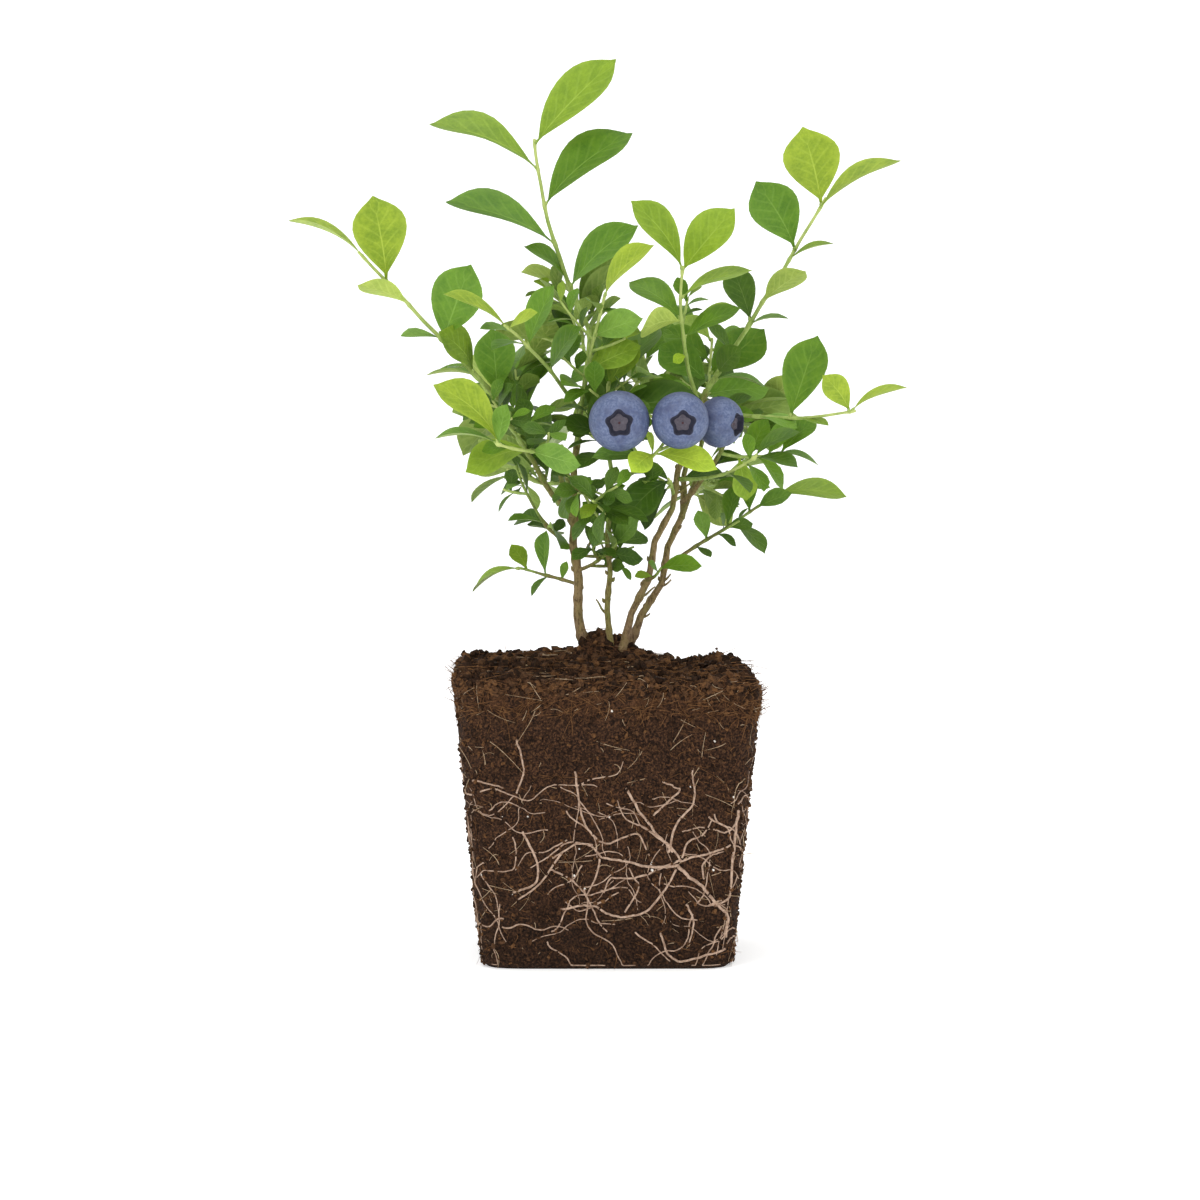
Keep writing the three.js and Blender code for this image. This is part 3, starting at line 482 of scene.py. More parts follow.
     "bow": (1, 1, -2), "lightTo": skyLight, "width": 1.1, "first": 0.2, "crowding": 1, "seed": 211,
     "twigs": 1, "count": 7, "longest": 20},
    {"name": "leaves_right_back", "parent": "stem_right_front", "at": 0.86, "tip": (31, 26, 178),
     "bow": (1, 2, -2), "width": 1.2, "first": 0.2, "crowding": 1, "seed": 221, "twigs": 1, "count": 8,
     "longest": 20},
    {"name": "leaves_front_left", "parent": "bough_front", "at": 0.98, "tip": (-31, -46, 149.5),
     "bow": (0, -2, -1.5), "width": 1.3, "seed": 231,
     "leaves": [(0.44, -42, 20.5, 4, 26, "bright"), (0.47, 106, 15.5, -31, 16, "dull"),
                (0.96, -37, 25, 22, -67, "lime"), (0.96, 67, 13, 27, -56, "dull"),
                (0.21, 114, 8.5, -4, -60, "pale"), (0.76, -31, 9, 5, 19, "green"),
                (0.96, -44, 18, 44, -7, "dull")]},
    {"name": "leaves_front_low", "parent": "bough_front", "at": 0.55, "tip": (0, -30, 130.5),
     "bow": (0, -1, -1), "width": 1.1, "seed": 241,
     "leaves": [(0.12, -36, 14, 61, 33, "dark"), (0.8, -77, 8, 2, 11, "bright"),
                (0.93, 60, 7, -25, -83, "deep"), (0.96, -93, 11, 41, 49, "dark"),
                (0.96, 45, 13, 31, 23, "deep")]},
    {"name": "leaves_front_right", "parent": "stem_right_front", "at": 0.66, "tip": (42, -38, 145.7),
     "bow": (1, -1, -2), "width": 1.2, "seed": 254,
     "leaves": [(0.04, 54, 13, 21, -3, "deep"), (0.52, 38, 12, 43, 65, "dark"),
                (0.84, 60, 12, 33, 78, "green"), (0.9, -71, 8, 27, -67, "green"),
                (0.96, 51, 15, 32, -33, "dark"), (0.96, 45, 14, 28, 23, "dark"),
                (0.96, -61, 9, 49, -80, "mid")]},
]

truss = {
    "name": "berry_truss", "parent": "stem_middle", "at": 0.92, "tip": (15, -28, 147.5),
    "bow": (0, -1, -1.5), "width": 1.3, "endWidth": 0.9, "seed": 261,
    "pedicelWidth": 1.0, "pedicelBow": (0, 1.2, -1.2),
    # The young green of three of these leaves is partly painted light, against the shade under the berries.
    "leaves": [(0.74, -112, 16, 27, 0, "dull"), (0.89, 58, 19, 12, 24, "young"),
               (0.88, -84, 13, -10, 50, "young"), (0.84, -46, 9, 40, -35, "young")],
    "berries": [
        {"centre": (3.4, -34, 155.4), "width": 17.2, "facing": (0, -1, -0.06), "from": 0.7,
         "turn": 0.6},
        {"centre": (20.6, -34, 155.6), "width": 16.2, "facing": (0.1, -1, -0.1), "from": 0.85,
         "turn": 0.75},
        {"centre": (31.8, -23, 154.8), "width": 14.6, "facing": (0.85, -0.6, -0.1), "from": 0.96,
         "turn": 0.2},
    ],
}

grown = {}  # every limb and shoot by name, with its path
takenPoints = []  # of the leaves that are already there


def growLimb(limb):
    foot = pointOn(grown[limb["parent"]]["path"], limb["at"]) if "parent" in limb else limb["foot"]
    path = limbPath(foot, limb["tip"], limb["bow"])
    grown[limb["name"]] = {**limb, "path": path, "marks": pointOn(path, np.linspace(0, 1, 25))}


# Half a blade's width at a share of its length s: s^0.8 (1 - s)^0.62, scaled to half the width at its peak.
def plainEdge(leaf, share, side):  # the same on both sides
    base, point = 0.8, 0.62
    peak = base / (base + point)
    return leaf["width"] / 2 * share ** base * (1 - share) ** point / (peak ** base * (1 - peak) ** point)


# A point of a leaf: along is 0 at the twig and 1 at the tip, side -1 to 1 from edge to edge. The blade
# rises from its midrib by the fold and in its middle by the arch, 4 along (1 - along).
def leafPoint(leaf, along, side, lift=0.0, edge=plainEdge):
    petiole = leafForm["petiole"]
    share = np.clip((along - petiole) / (1 - petiole), 0, 1)
    neck = np.interp(along, [0, petiole], [leafForm["rootWidth"], leafForm["petioleWidth"]]) / 2
    half = np.maximum(edge(leaf, share, side), neck * (1 - share))
    arch = leaf["arch"] * leaf["length"] * 4 * along * (1 - along)
    rise = leaf["fold"] * half * np.abs(side) + arch + lift
    return (leaf["foot"] + leaf["axis"] * (leaf["length"] * along)[:, None]
            + leaf["side"] * (side * half)[:, None] + leaf["normal"] * rise[:, None])


checkAlong, checkSide = (grid.ravel() for grid in np.meshgrid([0.3, 0.45, 0.6, 0.75, 0.9, 1.0],
                                                              [-0.9, -0.45, 0.0, 0.45, 0.9], indexing="ij"))


def isClear(leaf, shootName, rule):  # of the leaves that are there, and of every limb
    points = leafPoint(leaf, checkAlong, checkSide)
    leafGap = rule["leafGap"]
    middle = (points.min(axis=0) + points.max(axis=0)) / 2
    reach = (points.max(axis=0) - points.min(axis=0)) / 2 + leafGap + 2.5
    if takenPoints:
        others = np.concatenate(takenPoints)
        near = others[(np.abs(others - middle) < reach).all(axis=1)]
        if len(near) and np.linalg.norm(near[:, None] - points, axis=2).min() < leafGap:
            return False
    for name, limb in grown.items():
        gap = max(limb["widths"]) / 2 + (0 if name == shootName else rule["limbGap"])
        if np.linalg.norm(limb["marks"][:, None] - points, axis=2).min() < gap:
            return False
    return True


# One leaf on a twig: standoff tilts it off the twig, lean turns it to the front, and roll turns its
# face from the light to the sky.
def makeLeaf(path, spread, lightTo, row, draw):
    at, standoff, length, roll, lean, green = row
    roll, lean, off = math.radians(roll), math.radians(lean), math.radians(abs(standoff))
    tangent = tangentOn(path, at)
    side = squareTo(np.array(spread, float), tangent)
    front = np.cross(side, tangent)
    out = side * math.copysign(math.cos(lean), standoff * math.cos(lean)) + front * math.sin(lean)
    axis = unit(tangent * math.cos(off) + out * math.sin(off))
    toLight = squareTo(np.array(lightTo, float), axis)
    toSky = np.cross(axis, toLight)
    if toSky[2] < 0:
        toSky = -toSky
    normal = toLight * math.cos(roll) + toSky * math.sin(roll)
    return {
        "foot": pointOn(path, at), "axis": axis, "normal": normal, "side": np.cross(axis, normal),
        "length": length, "at": at, "green": green,
        "width": length * leafForm["widthShare"] * draw(*dealing["widthSpread"]),
        "arch": leafForm["arch"] * draw(*dealing["archSpread"]),
        "fold": leafForm["foldRise"] * draw(*dealing["foldSpread"]),
    }


def insideBox(leaf, box):  # every tested point of the blade is in the box
    points = leafPoint(leaf, checkAlong, checkSide)
    return bool((points > box[0]).all() and (points < box[1]).all())


# Each row becomes a leaf, turned a little further at each try until it is clear of the rest and in the
# box, where there is one. It is left out where no try helps. rule holds the gaps, tries and turns.
def addLeaves(shoot, path, rows, draw, rule, box=None, shortening=1.0):
    leaves = []
    for at, standoff, length, roll, lean, green in rows:
        for turn in range(rule["tries"]):
            nudge = turn * rule["turnStep"] * draw(-1, 1)
            tried = (at, standoff, length * shortening, roll, lean + nudge, green)
            leaf = makeLeaf(path, shoot.get("spread", across), shoot.get("lightTo", light), tried, draw)
            if (box is None or insideBox(leaf, box)) and isClear(leaf, shoot["name"], rule):
                leaves.append(leaf)
                takenPoints.append(leafPoint(leaf, checkAlong, checkSide))
                break
    return leaves


def drawnGreen(at):  # old leaves are darker
    return "dark" if at < 0.4 else "mid" if at < 0.65 else "green" if at < 0.9 else "bright"


# Rows for a twig from its seed: leaf i sits at first + (1 - first) (i / (count - 1))^crowding, left and
# right in turn, and is the longest in the middle, where sin(pi (i + 1) / (count + 1)) peaks.
def drawnRows(count, longest, first, crowding, draw):
    rows = []
    for i in range(count):
        at = min(first + (1 - first) * (i / (count - 1)) ** crowding, dealing["lastLeaf"])
        size = dealing["endSize"] + (1 - dealing["endSize"]) * math.sin(math.pi * (i + 1) / (count + 1))
        standoff = draw(*dealing["standoff"]) * (-1 if i % 2 else 1)
        length = longest * size * draw(*dealing["lengthSpread"])
        rows.append((at, standoff, length, draw(*dealing["roll"]), draw(*dealing["lean"]), drawnGreen(at)))
    return rows


# Side twigs at even spacings, each halfway between its shoot's direction and the side.
def sideTwigs(shoot, path, draw):
    twigs = []
    for i in range(shoot.get("twigs", 0)):
        at = dealing["firstTwig"] + dealing["twigSpacing"] * (i + draw(-0.2, 0.2))
        tangent = tangentOn(path, at)
        side = squareTo(np.array(shoot.get("spread", across), float), tangent) * (1 if i % 2 else -1)
        front = np.cross(side, tangent)
        foot = pointOn(path, at)
        reach = lengthOf(path) * draw(*dealing["twigReach"])
        lean = front * reach * dealing["twigLean"] * draw(-1, 1)
        tip = foot + (tangent + side) * reach * math.sqrt(0.5) + lean
        size = shoot["longest"] * dealing["twigLeafSize"]
        rows = drawnRows(dealing["twigLeaves"], size, dealing["twigFirst"], 1, draw)
        way = limbPath(foot, tip, side * reach * 0.06)
        twigs.append({"path": way, "widths": dealing["twigWidths"], "rows": rows})
    return twigs


def growShoot(shoot):  # its own twig with its leaves, then its side twigs with theirs
    draw = seeded(shoot["seed"])
    growLimb({**shoot, "widths": (shoot["width"], shoot["width"] * tipShare)})
    if "leaves" in shoot:
        rows = shoot["leaves"]
    else:
        rows = drawnRows(shoot["count"], shoot["longest"], shoot["first"], shoot["crowding"], draw)
    main = {**grown[shoot["name"]], "rows": rows}
    leaves = addLeaves(shoot, main["path"], rows, draw, dealing)
    twigs = sideTwigs(shoot, main["path"], draw)
    for twig in twigs:
        leaves += addLeaves(shoot, twig["path"], twig["rows"], draw, dealing)
    return {"twigs": [main, *twigs], "leaves": leaves}


for limb in limbs:
    growLimb(limb)
growth = {shoot["name"]: growShoot(shoot) for shoot in [truss, *shoots]}
print("grown:", sum(len(g["leaves"]) for g in growth.values()), "leaves on", len(growth), "shoots")


# Each mass gets its left-out leaves again, a little smaller, and finer twigs with small leaves. A finer
# twig goes 0.6 ahead and 0.8 out from its shoot, swung to a random side.
fineForm = {
    "leafGap": 0.9, "limbGap": 0.5, "retryShare": 0.86, "tries": 9, "turnStep": 14,
    "firstTwig": 0.18, "lastTwig": 0.8, "reach": (0.2, 0.34), "leaves": 5, "leafShare": (0.38, 0.6),
    "firstLeaf": 0.3, "swing": 1.3, "shortest": 9, "longestLeaf": 20, "widths": (0.85, 0.6),
    "boxMargin": 3.0,  # how far a leaf may stand out of its mass's own box
    "shadeBelow": 160,  # the height under which leaves are darker
    "shaded": {"dark": "deep", "mid": "dark", "green": "dark", "bright": "green"},
}

fineCounts = {  # finer twigs for each shoot
    "leaves_centre": 4, "leaves_middle": 10, "leaves_right_high": 1, "leaves_low_right": 1,
    "leaves_middle_low": 7, "leaves_left": 4, "leaves_left_low": 2, "leaves_front_left": 1,
    "leaves_front_low": 8, "leaves_fork": 3, "leaves_fork_left": 6, "leaves_back_left": 4,
    "leaves_back_left_low": 3, "leaves_back_high": 4, "leaves_back_centre": 4, "leaves_back_right": 5,
    "leaves_back_right_low": 3, "leaves_right_back": 4,
}


def massBox(name):
    low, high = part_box(name)
    margin = fineForm["boxMargin"]
    return np.array(low) / mm - margin, np.array(high) / mm + margin


def growFiner(shoot):
    draw = seeded(shoot["seed"] + 5000)
    box = massBox(shoot["name"])
    mass = growth[shoot["name"]]
    for twig in mass["twigs"]:
        there = {round(leaf["at"], 4) for leaf in mass["leaves"]}
        rows = [row for row in twig["rows"] if round(row[0], 4) not in there]
        mass["leaves"] += addLeaves(shoot, twig["path"], rows, draw, fineForm, box, fineForm["retryShare"])
    path = mass["twigs"][0]["path"]
    longest = shoot.get("longest", fineForm["longestLeaf"])
    count = fineCounts.get(shoot["name"], 0)
    first, last = fineForm["firstTwig"], fineForm["lastTwig"]
    for i in range(count):
        at = first + (last - first) * (i + draw(0.1, 0.9)) / count
        tangent = tangentOn(path, at)
        side = squareTo(np.array(shoot.get("spread", across), float), tangent) * (-1 if i % 2 else 1)
        front = np.cross(side, tangent)
        swing = draw(-fineForm["swing"], fineForm["swing"])
        out = side * math.cos(swing) + front * math.sin(swing)
        reach = max(lengthOf(path) * draw(*fineForm["reach"]), fineForm["shortest"])
        foot = pointOn(path, at)
        tip = foot + (tangent * 0.6 + out * 0.8) * reach
        size = longest * draw(*fineForm["leafShare"])
        rows = drawnRows(fineForm["leaves"], size, fineForm["firstLeaf"], 1, draw)
        if foot[2] < fineForm["shadeBelow"]:
            rows = [(*row[:5], fineForm["shaded"][row[5]]) for row in rows]
        twigPath = limbPath(foot, tip, out * reach * 0.05)
        leaves = addLeaves(shoot, twigPath, rows, draw, fineForm, box)
        if len(leaves) > 1:
            mass["twigs"].append({"path": twigPath, "widths": fineForm["widths"], "rows": rows})
            mass["leaves"] += leaves


for shoot in shoots:
    growFiner(shoot)
print("finer growth:", sum(len(g["leaves"]) for g in growth.values()), "leaves")


bladeLook = {
    "rows": (0, 0.03, 0.06, 0.1, 0.15, 0.22, 0.31, 0.41, 0.51, 0.61, 0.7, 0.78, 0.85, 0.91, 0.96, 1),
    "columns": (-1, -0.5, 0, 0.5, 1),
    "smallRows": (0, 0.05, 0.12, 0.24, 0.4, 0.58, 0.76, 0.9, 1), "smallColumns": (-1, 0, 1), "small": 12.5,
    "sag": 0.055,  # how far the middle bows upwards, for the length
    "fold": 0.13,  # how much further the edges rise from the midrib, for half the width
    "ripple": 0.025,  # of the edges, for half the width
    "rippleSpread": (0.3, 1.5), "sagSpread": (0.7, 1.2), "rippleTurns": (4, 9),
    "veins": 7,
}

greens = {  # upper face, under face
    "lime": (colour(138, 164, 44), colour(154, 178, 80)),
    "vivid": (colour(150, 182, 40), colour(166, 190, 66)),
    # young is partly the lighter green of young leaves and partly painted light, which makes up for the
    # shade that the truss's leaves sit in under the berries.
    "young": (colour(176, 208, 60), colour(180, 204, 84)),
    "bright": (colour(116, 148, 36), colour(140, 164, 74)),
    "green": (colour(82, 122, 20), colour(122, 150, 64)),
    "mid": (colour(88, 130, 32), colour(124, 150, 70)),
    "dull": (colour(100, 140, 50), colour(132, 158, 82)),
    "pale": (colour(172, 188, 140), colour(180, 192, 150)),
    "dark": (colour(66, 100, 22), colour(106, 134, 56)),
    "deep": (colour(52, 86, 10), colour(88, 114, 40)),
}


# Ids of a closed blade: an upper and an under grid that share their whole rim.
def bladeLayout(rows, columns):
    height, width = len(rows), len(columns)
    upper = np.arange(height * width).reshape(height, width)
    upper[-1, :] = upper[-1, 0]
    under = upper + height * width
    for edge in (np.s_[:, 0], np.s_[:, -1], np.s_[0, :], np.s_[-1, :]):
        under[edge] = upper[edge]
    along, side = (grid.ravel() for grid in np.meshgrid(rows, columns, indexing="ij"))
    side = np.where(along == 1, 0, side)
    used, ids = np.unique(np.concatenate([upper.ravel(), under.ravel()]), return_inverse=True)
    upper, under = ids[:height * width].reshape(height, width), ids[height * width:].reshape(height, width)
    face = np.where(used < height * width, 1, -1)
    rim = np.intersect1d(upper.ravel(), under.ravel())
    face[rim] = 0
    faces = np.concatenate([gridFaces(upper), gridFaces(under, flip=True)])
    half = len(faces) // 2
    return np.tile(along, 2)[used], np.tile(side, 2)[used], face, faces, np.repeat([0, 1], half)


largeLayout = bladeLayout(np.array(bladeLook["rows"]), np.array(bladeLook["columns"]))
smallLayout = bladeLayout(np.array(bladeLook["smallRows"]), np.array(bladeLook["smallColumns"]))


# Half a blade's width as it is seen: s^a (1 - s)^b (1 - s^12), a wedge with round shoulders and a sharp
# tip. A leaf that lies on its side has a wider upper half, widest near the twig, and the lower half is
# widest near the tip.
def blade(leaf, share, side):
    skew = np.sign(side) * leaf["side"][2] * (0.8 if leaf["axis"][0] > 0 else 0.2)
    base, point = 1.2 - 0.5 * abs(skew) - 0.2 * skew, 0.6 + 0.3 * skew
    peak = base / (base + point)
    tallest = peak ** base * (1 - peak) ** point * (1 - peak ** 12)
    half = leaf["width"] / 2 * (1 + 0.08 * skew)
    return half * share ** base * (1 - share) ** point * (1 - share ** 12) / tallest


# A blade's mesh: the leaf's surface, thickest along the midrib. Its middle bows upwards by the sag times
# 4 along (1 - along) (1.4 - 0.8 along), and its edges ripple as sin(turns along + start) side^2.
def bladeShape(leaf, order, draw):
    along, side, face, faces, under = largeLayout if leaf["length"] > bladeLook["small"] else smallLayout
    ripple = bladeLook["ripple"] * draw(*bladeLook["rippleSpread"])
    turns, start = draw(*bladeLook["rippleTurns"]), draw(0, 6.3)
    sag = bladeLook["sag"] * draw(*bladeLook["sagSpread"])
    thick = leafForm["thickness"] * np.where(along < 0.07, 1.0, 0.45 + 0.55 * (side == 0))
    thick = thick * (leaf["length"] / 30) ** 0.5
    folded = {**leaf, "fold": leaf["fold"] + bladeLook["fold"]}
    points = leafPoint(folded, along, side, face * thick / 2, blade)
    wave = np.sin(turns * along + start) * side ** 2 * np.clip(along * 4 - 0.4, 0, 1)
    bow = sag * leaf["length"] * 4 * along * (1 - along) * (1.4 - 0.8 * along)
    lift = ripple * leaf["width"] / 2 * wave + bow * leaf["normal"][2]
    swing = bow * leaf["side"][2] * (1.3 if leaf["axis"][0] < 0 else -0.2)
    points += leaf["normal"] * lift[:, None] + leaf["side"] * swing[:, None]
    uv = np.stack([along, side / 2 + 0.5], axis=1)
    return shape(points, faces, finish=under + 2 * order, uv=uv, tint=draw(0, 1))


def leafMaterial(name, base, under):
    board = Board(name)
    split = board.add("SeparateXYZ", None, {"Vector": board.add("UVMap", {"uv_map": "blade"})})
    aside = abs(Wire(board, split.socket.node.outputs["Y"]) * 2 - 1)
    midrib = (1 - (aside + split * 0.05).smooth(0.02, 0.08)) * (1 - split.smooth(0.6, 0.95))
    # side veins leave the midrib and sweep to the tip: (along - 0.3 aside^0.8) repeats
    sweep = ((split - 0.3 * aside ** 0.8) * bladeLook["veins"]).fraction()
    vein = (1 - abs(sweep - 0.5).smooth(0.02, 0.2)) * (1 - aside.smooth(0.5, 0.95))
    net = board.noise(0.9, 3, roughness=0.7)
    patch = board.noise(4.5, 3)
    red, green, blue, one = base
    sunny = (red * 1.4 + 0.01, green * 1.25 + 0.01, blue * 1.35, one)
    dark = (red * 0.6, green * 0.68, blue * 0.6, one)
    mottle = board.mark("tint") * 0.35 + patch.smooth(0.3, 0.7) * 0.35 + net.smooth(0.3, 0.7) * 0.3
    shade = board.mix(mottle, dark, sunny)
    rib = (min(red * 1.45 + 0.06, 1), min(green * 1.3 + 0.06, 1), blue * 1.5 + 0.03, one)
    inked = board.mix(vein * (0.35 if under else 0.22), shade, rib)
    inked = board.mix(midrib * (0.8 if under else 0.75), inked, rib)
    inked = board.mix(aside.smooth(0.7, 1.0) * 0.3, inked, rib)  # a paler edge
    height = midrib * (0.9 if under else -0.7) + vein * (0.35 if under else -0.5) + net * 0.25
    return board.finish({
        "Base Color": inked, "Roughness": 0.65 if under else 0.55,
        "Specular IOR Level": 0.2 if under else 0.25, "Normal": board.bump(height, 0.16, 0.6),
    })


leafFinishes = {
    green: [leafMaterial("leaf_" + green, upper, False), leafMaterial("leaf_under_" + green, under, True)]
    for green, (upper, under) in greens.items()
}


def makeLeaves(name, mass, seed):
    draw = seeded(seed + 900)
    used = sorted({leaf["green"] for leaf in mass["leaves"]})
    shapes = [bladeShape(leaf, used.index(leaf["green"]), draw) for leaf in mass["leaves"]]
    finishes = [finish for green in used for finish in leafFinishes[green]]
    nodes = [] if name == truss["name"] else [name]  # the berries stand for the truss
    makePiece("blades_" + name, shapes, finishes, nodes, sharp=70)


for shoot in [truss, *shoots]:
    makeLeaves(shoot["name"], growth[shoot["name"]], shoot["seed"])
print("leaves made")


barkLook = {
    "stops": [  # by age, from a green tip to an old stem
        (0.0, colour(180, 194, 112)), (0.3, colour(140, 166, 78)), (0.5, colour(104, 122, 44)),
        (0.66, colour(112, 106, 50)), (0.85, colour(126, 106, 66)), (1.0, colour(124, 100, 72)),
    ],
    "sides": 28, "ridge": 0.14, "stepLength": 0.6, "knotEvery": 11, "knot": 0.22,
    "budLengths": (1.4, 2.6), "spurLengths": (2.5, 6), "spurWidths": (0.95, 0.5),
}


def barkMaterial(name, roughness, streak, depth):
    board = Board(name)
    age = board.mark("age")
    grain = board.noise(0.7, 4, stretch=(1, 1, 0.4), roughness=0.75)
    patches = board.noise(3, 3, stretch=(1, 1, 0.5))
    place = age + (patches - 0.5) * 0.7
    base = board.add("ValToRGB", {"stops": barkLook["stops"]}, {"Fac": place})
    streaked = board.mix((grain - 0.35) * streak, base, colour(176, 160, 130))
    # Dark cracks where the grain that drives the bump is low: partly the bark's own darker fissures and
    # partly painted shade in these hollows.
    cracks = (1 - grain).smooth(0.5, 0.64) * age
    final = board.mix(cracks * 0.75, streaked, colour(56, 42, 28))
    return board.finish({
        "Base Color": final, "Roughness": roughness, "Specular IOR Level": 0.3,
        "Normal": board.bump(grain + board.noise(0.35, 2) * 0.3, depth, 0.8),
    })


barkFinish = barkMaterial("bark", 0.82, 0.5, 0.3)
twigFinish = barkMaterial("twig_skin", 0.6, 0.25, 0.12)


def zigzag(limb, t):  # a triangle wave to and fro across the path, still at both ends
    size = limb.get("kink", 0.4)
    nodes = max(lengthOf(limb["path"]) / barkLook["knotEvery"], 1)
    wave = np.abs(((t * nodes) % 2) - 1) * 2 - 1
    return size * wave * np.sin(np.pi * np.clip(t, 0, 1)) ** 0.5


def limbLine(limb, t):  # the path, moved aside by half the zigzag
    path = limb["path"]
    ahead = tangentOn(path, t)
    side = squareTo(np.array(limb.get("spread", across), float), ahead)
    return pointOn(path, t) + side * (zigzag(limb, t) * 0.5)[:, None]


# Bark relief: long ridges round the stem that wander as they climb.
def barkRelief(rings, radius):
    return radius * barkLook["ridge"] * fractal(rings * np.array([1, 1, 0.2]), 0.9, 3, 7)


# A limb: its width goes evenly from first to last, with a flare of e^(-16 t) at the foot, and swells by
# e^(-x^2) at every knot.
def stemShape(limb):
    steps = int(lengthOf(limb["path"]) / barkLook["stepLength"])
    t = np.linspace(0, 1, steps + 1)
    first, last = limb["widths"]
    width = first + (last - first) * t + limb.get("flare", 0) * 2 * np.exp(-t * 16)
    knots = np.exp(-((t * steps * barkLook["stepLength"] / barkLook["knotEvery"] % 1 - 0.5) / 0.1) ** 2)
    radius = width / 2 * (0.9 + barkLook["knot"] * knots)
    young, old = limb["age"][1], limb["age"][0]
    return tube(limbLine(limb, t), radius, barkLook["sides"], old + (young - old) * t, barkRelief)


# A small pointed bud: a ball drawn out along its own axis, at a leaf's foot.
def budShape(foot, ahead, out, length, age):
    t = np.linspace(0.02, 0.98, 6)
    line = foot + (ahead * 0.7 + out * 0.5) * (length * t)[:, None]
    return tube(line, length * 0.3 * np.sin(np.pi * t ** 0.7) + 0.05, 6, age)


# Buds and short bare spurs along a limb, each up and out from it.
def spurShapes(limb, rng):
    shapes = []
    for i in range(limb.get("spurs", 0)):
        t = rng.uniform(0.12, 0.97)
        ahead = tangentOn(limb["path"], t)
        out = squareTo(rng.normal(size=3), ahead)
        foot = limbLine(limb, np.array([t]))[0]
        age = limb["age"][0] + (limb["age"][1] - limb["age"][0]) * t
        if i % 3:
            skin = foot + out * limb["widths"][1] * 0.4
            shapes.append(budShape(skin, ahead, out, rng.uniform(*barkLook["budLengths"]), age))
        else:
            length = rng.uniform(*barkLook["spurLengths"])
            path = limbPath(foot, foot + (ahead * 0.75 + out * 0.65) * length, ahead * length * -0.08)
            steps = np.linspace(0, 1, int(length) + 4)
            first, last = barkLook["spurWidths"]
            line = pointOn(path, steps) + out * (0.25 * np.sin(steps * length))[:, None]
            shapes.append(tube(line, (first + (last - first) * steps) / 2, 6, age * 0.95))
    return shapes


twigLook = {
    "steps": (0.9, 1.2), "sides": (10, 6),  # of a shoot's own twigs and of the finer ones
    "kink": 0.35, "swell": 0.3, "budsFrom": 14, "bud": 1.7,  # the leaf length from which there is a bud
    "oldBelow": 135, "oldOver": 20,  # twigs from under this height are older
    "footAge": (0.42, 0.3), "lowFootAge": (0.35, 0.4),  # of the shoot's own twig and of the rest
    "tipAge": (0.02, 0.05), "lowTipAge": 0.3,
}


# The twigs of a shoot: each is a tube that swells by e^(-x^2) at the foot of every leaf.
def makeTwigs(name, mass):
    shapes = []
    for i, twig in enumerate(mass["twigs"]):
        fine = twig["widths"][0] < 1
        length = lengthOf(twig["path"])
        steps = max(int(length / twigLook["steps"][fine]), 6)
        t = np.linspace(0, 1, steps + 1)
        first, last = twig["widths"]
        radius = (first + (last * 0.85 - first) * t) / 2
        for row in twig["rows"]:
            radius = radius * (1 + twigLook["swell"] * np.exp(-((t - row[0]) * length / 0.9) ** 2))
        low = np.clip((twigLook["oldBelow"] - twig["path"][0][2]) / twigLook["oldOver"], 0, 1)
        kind = min(i, 1)
        old = twigLook["footAge"][kind] + twigLook["lowFootAge"][kind] * low
        young = twigLook["tipAge"][kind] + twigLook["lowTipAge"] * low
        line = pointOn(twig["path"], t) if fine else limbLine({**twig, "kink": twigLook["kink"]}, t)
        shapes.append(tube(line, radius, twigLook["sides"][fine], old + (young - old) * t))
    for leaf in mass["leaves"]:
        if leaf["length"] > twigLook["budsFrom"]:
            ahead = unit(leaf["normal"] + leaf["axis"])
            shapes.append(budShape(leaf["foot"], ahead, leaf["axis"], twigLook["bud"], 0.25))
    makePiece("twigs_" + name, shapes, [twigFinish], sharp=50)


def makeStems():
    rng = np.random.default_rng(17)
    for limb in limbs:
        shapes = [stemShape(grown[limb["name"]]), *spurShapes(grown[limb["name"]], rng)]
        makePiece("bark_" + limb["name"], shapes, [barkFinish], [limb["name"]])


makeStems()
for shoot in shoots:
    makeTwigs(shoot["name"], growth[shoot["name"]])
print("stems and twigs made")


berryLook = {
    "profile": [  # from the stalk end to the middle of the calyx, in berry radii
        (0, -0.9), (0.2, -0.89), (0.45, -0.79), (0.66, -0.65), (0.84, -0.45), (0.96, -0.22), (1, 0),
        (0.98, 0.2), (0.9, 0.42), (0.78, 0.6), (0.64, 0.735), (0.54, 0.8), (0.47, 0.84), (0.44, 0.88),
        (0.42, 0.91), (0.395, 0.91), (0.37, 0.86), (0.33, 0.76), (0.28, 0.69), (0.22, 0.665), (0.12, 0.66),
        (0.07, 0.665), (0.05, 0.7), (0.025, 0.71), (0, 0.705),
    ],
    "crownLow": 0.82, "lobes": 5, "notch": 0.05, "star": 0.11,
    "skinEnd": 0.43, "rimEnd": 0.275, "floorEnd": 0.06,  # where each finish ends, in berry radii
    "rows": 76, "sides": 70,
}


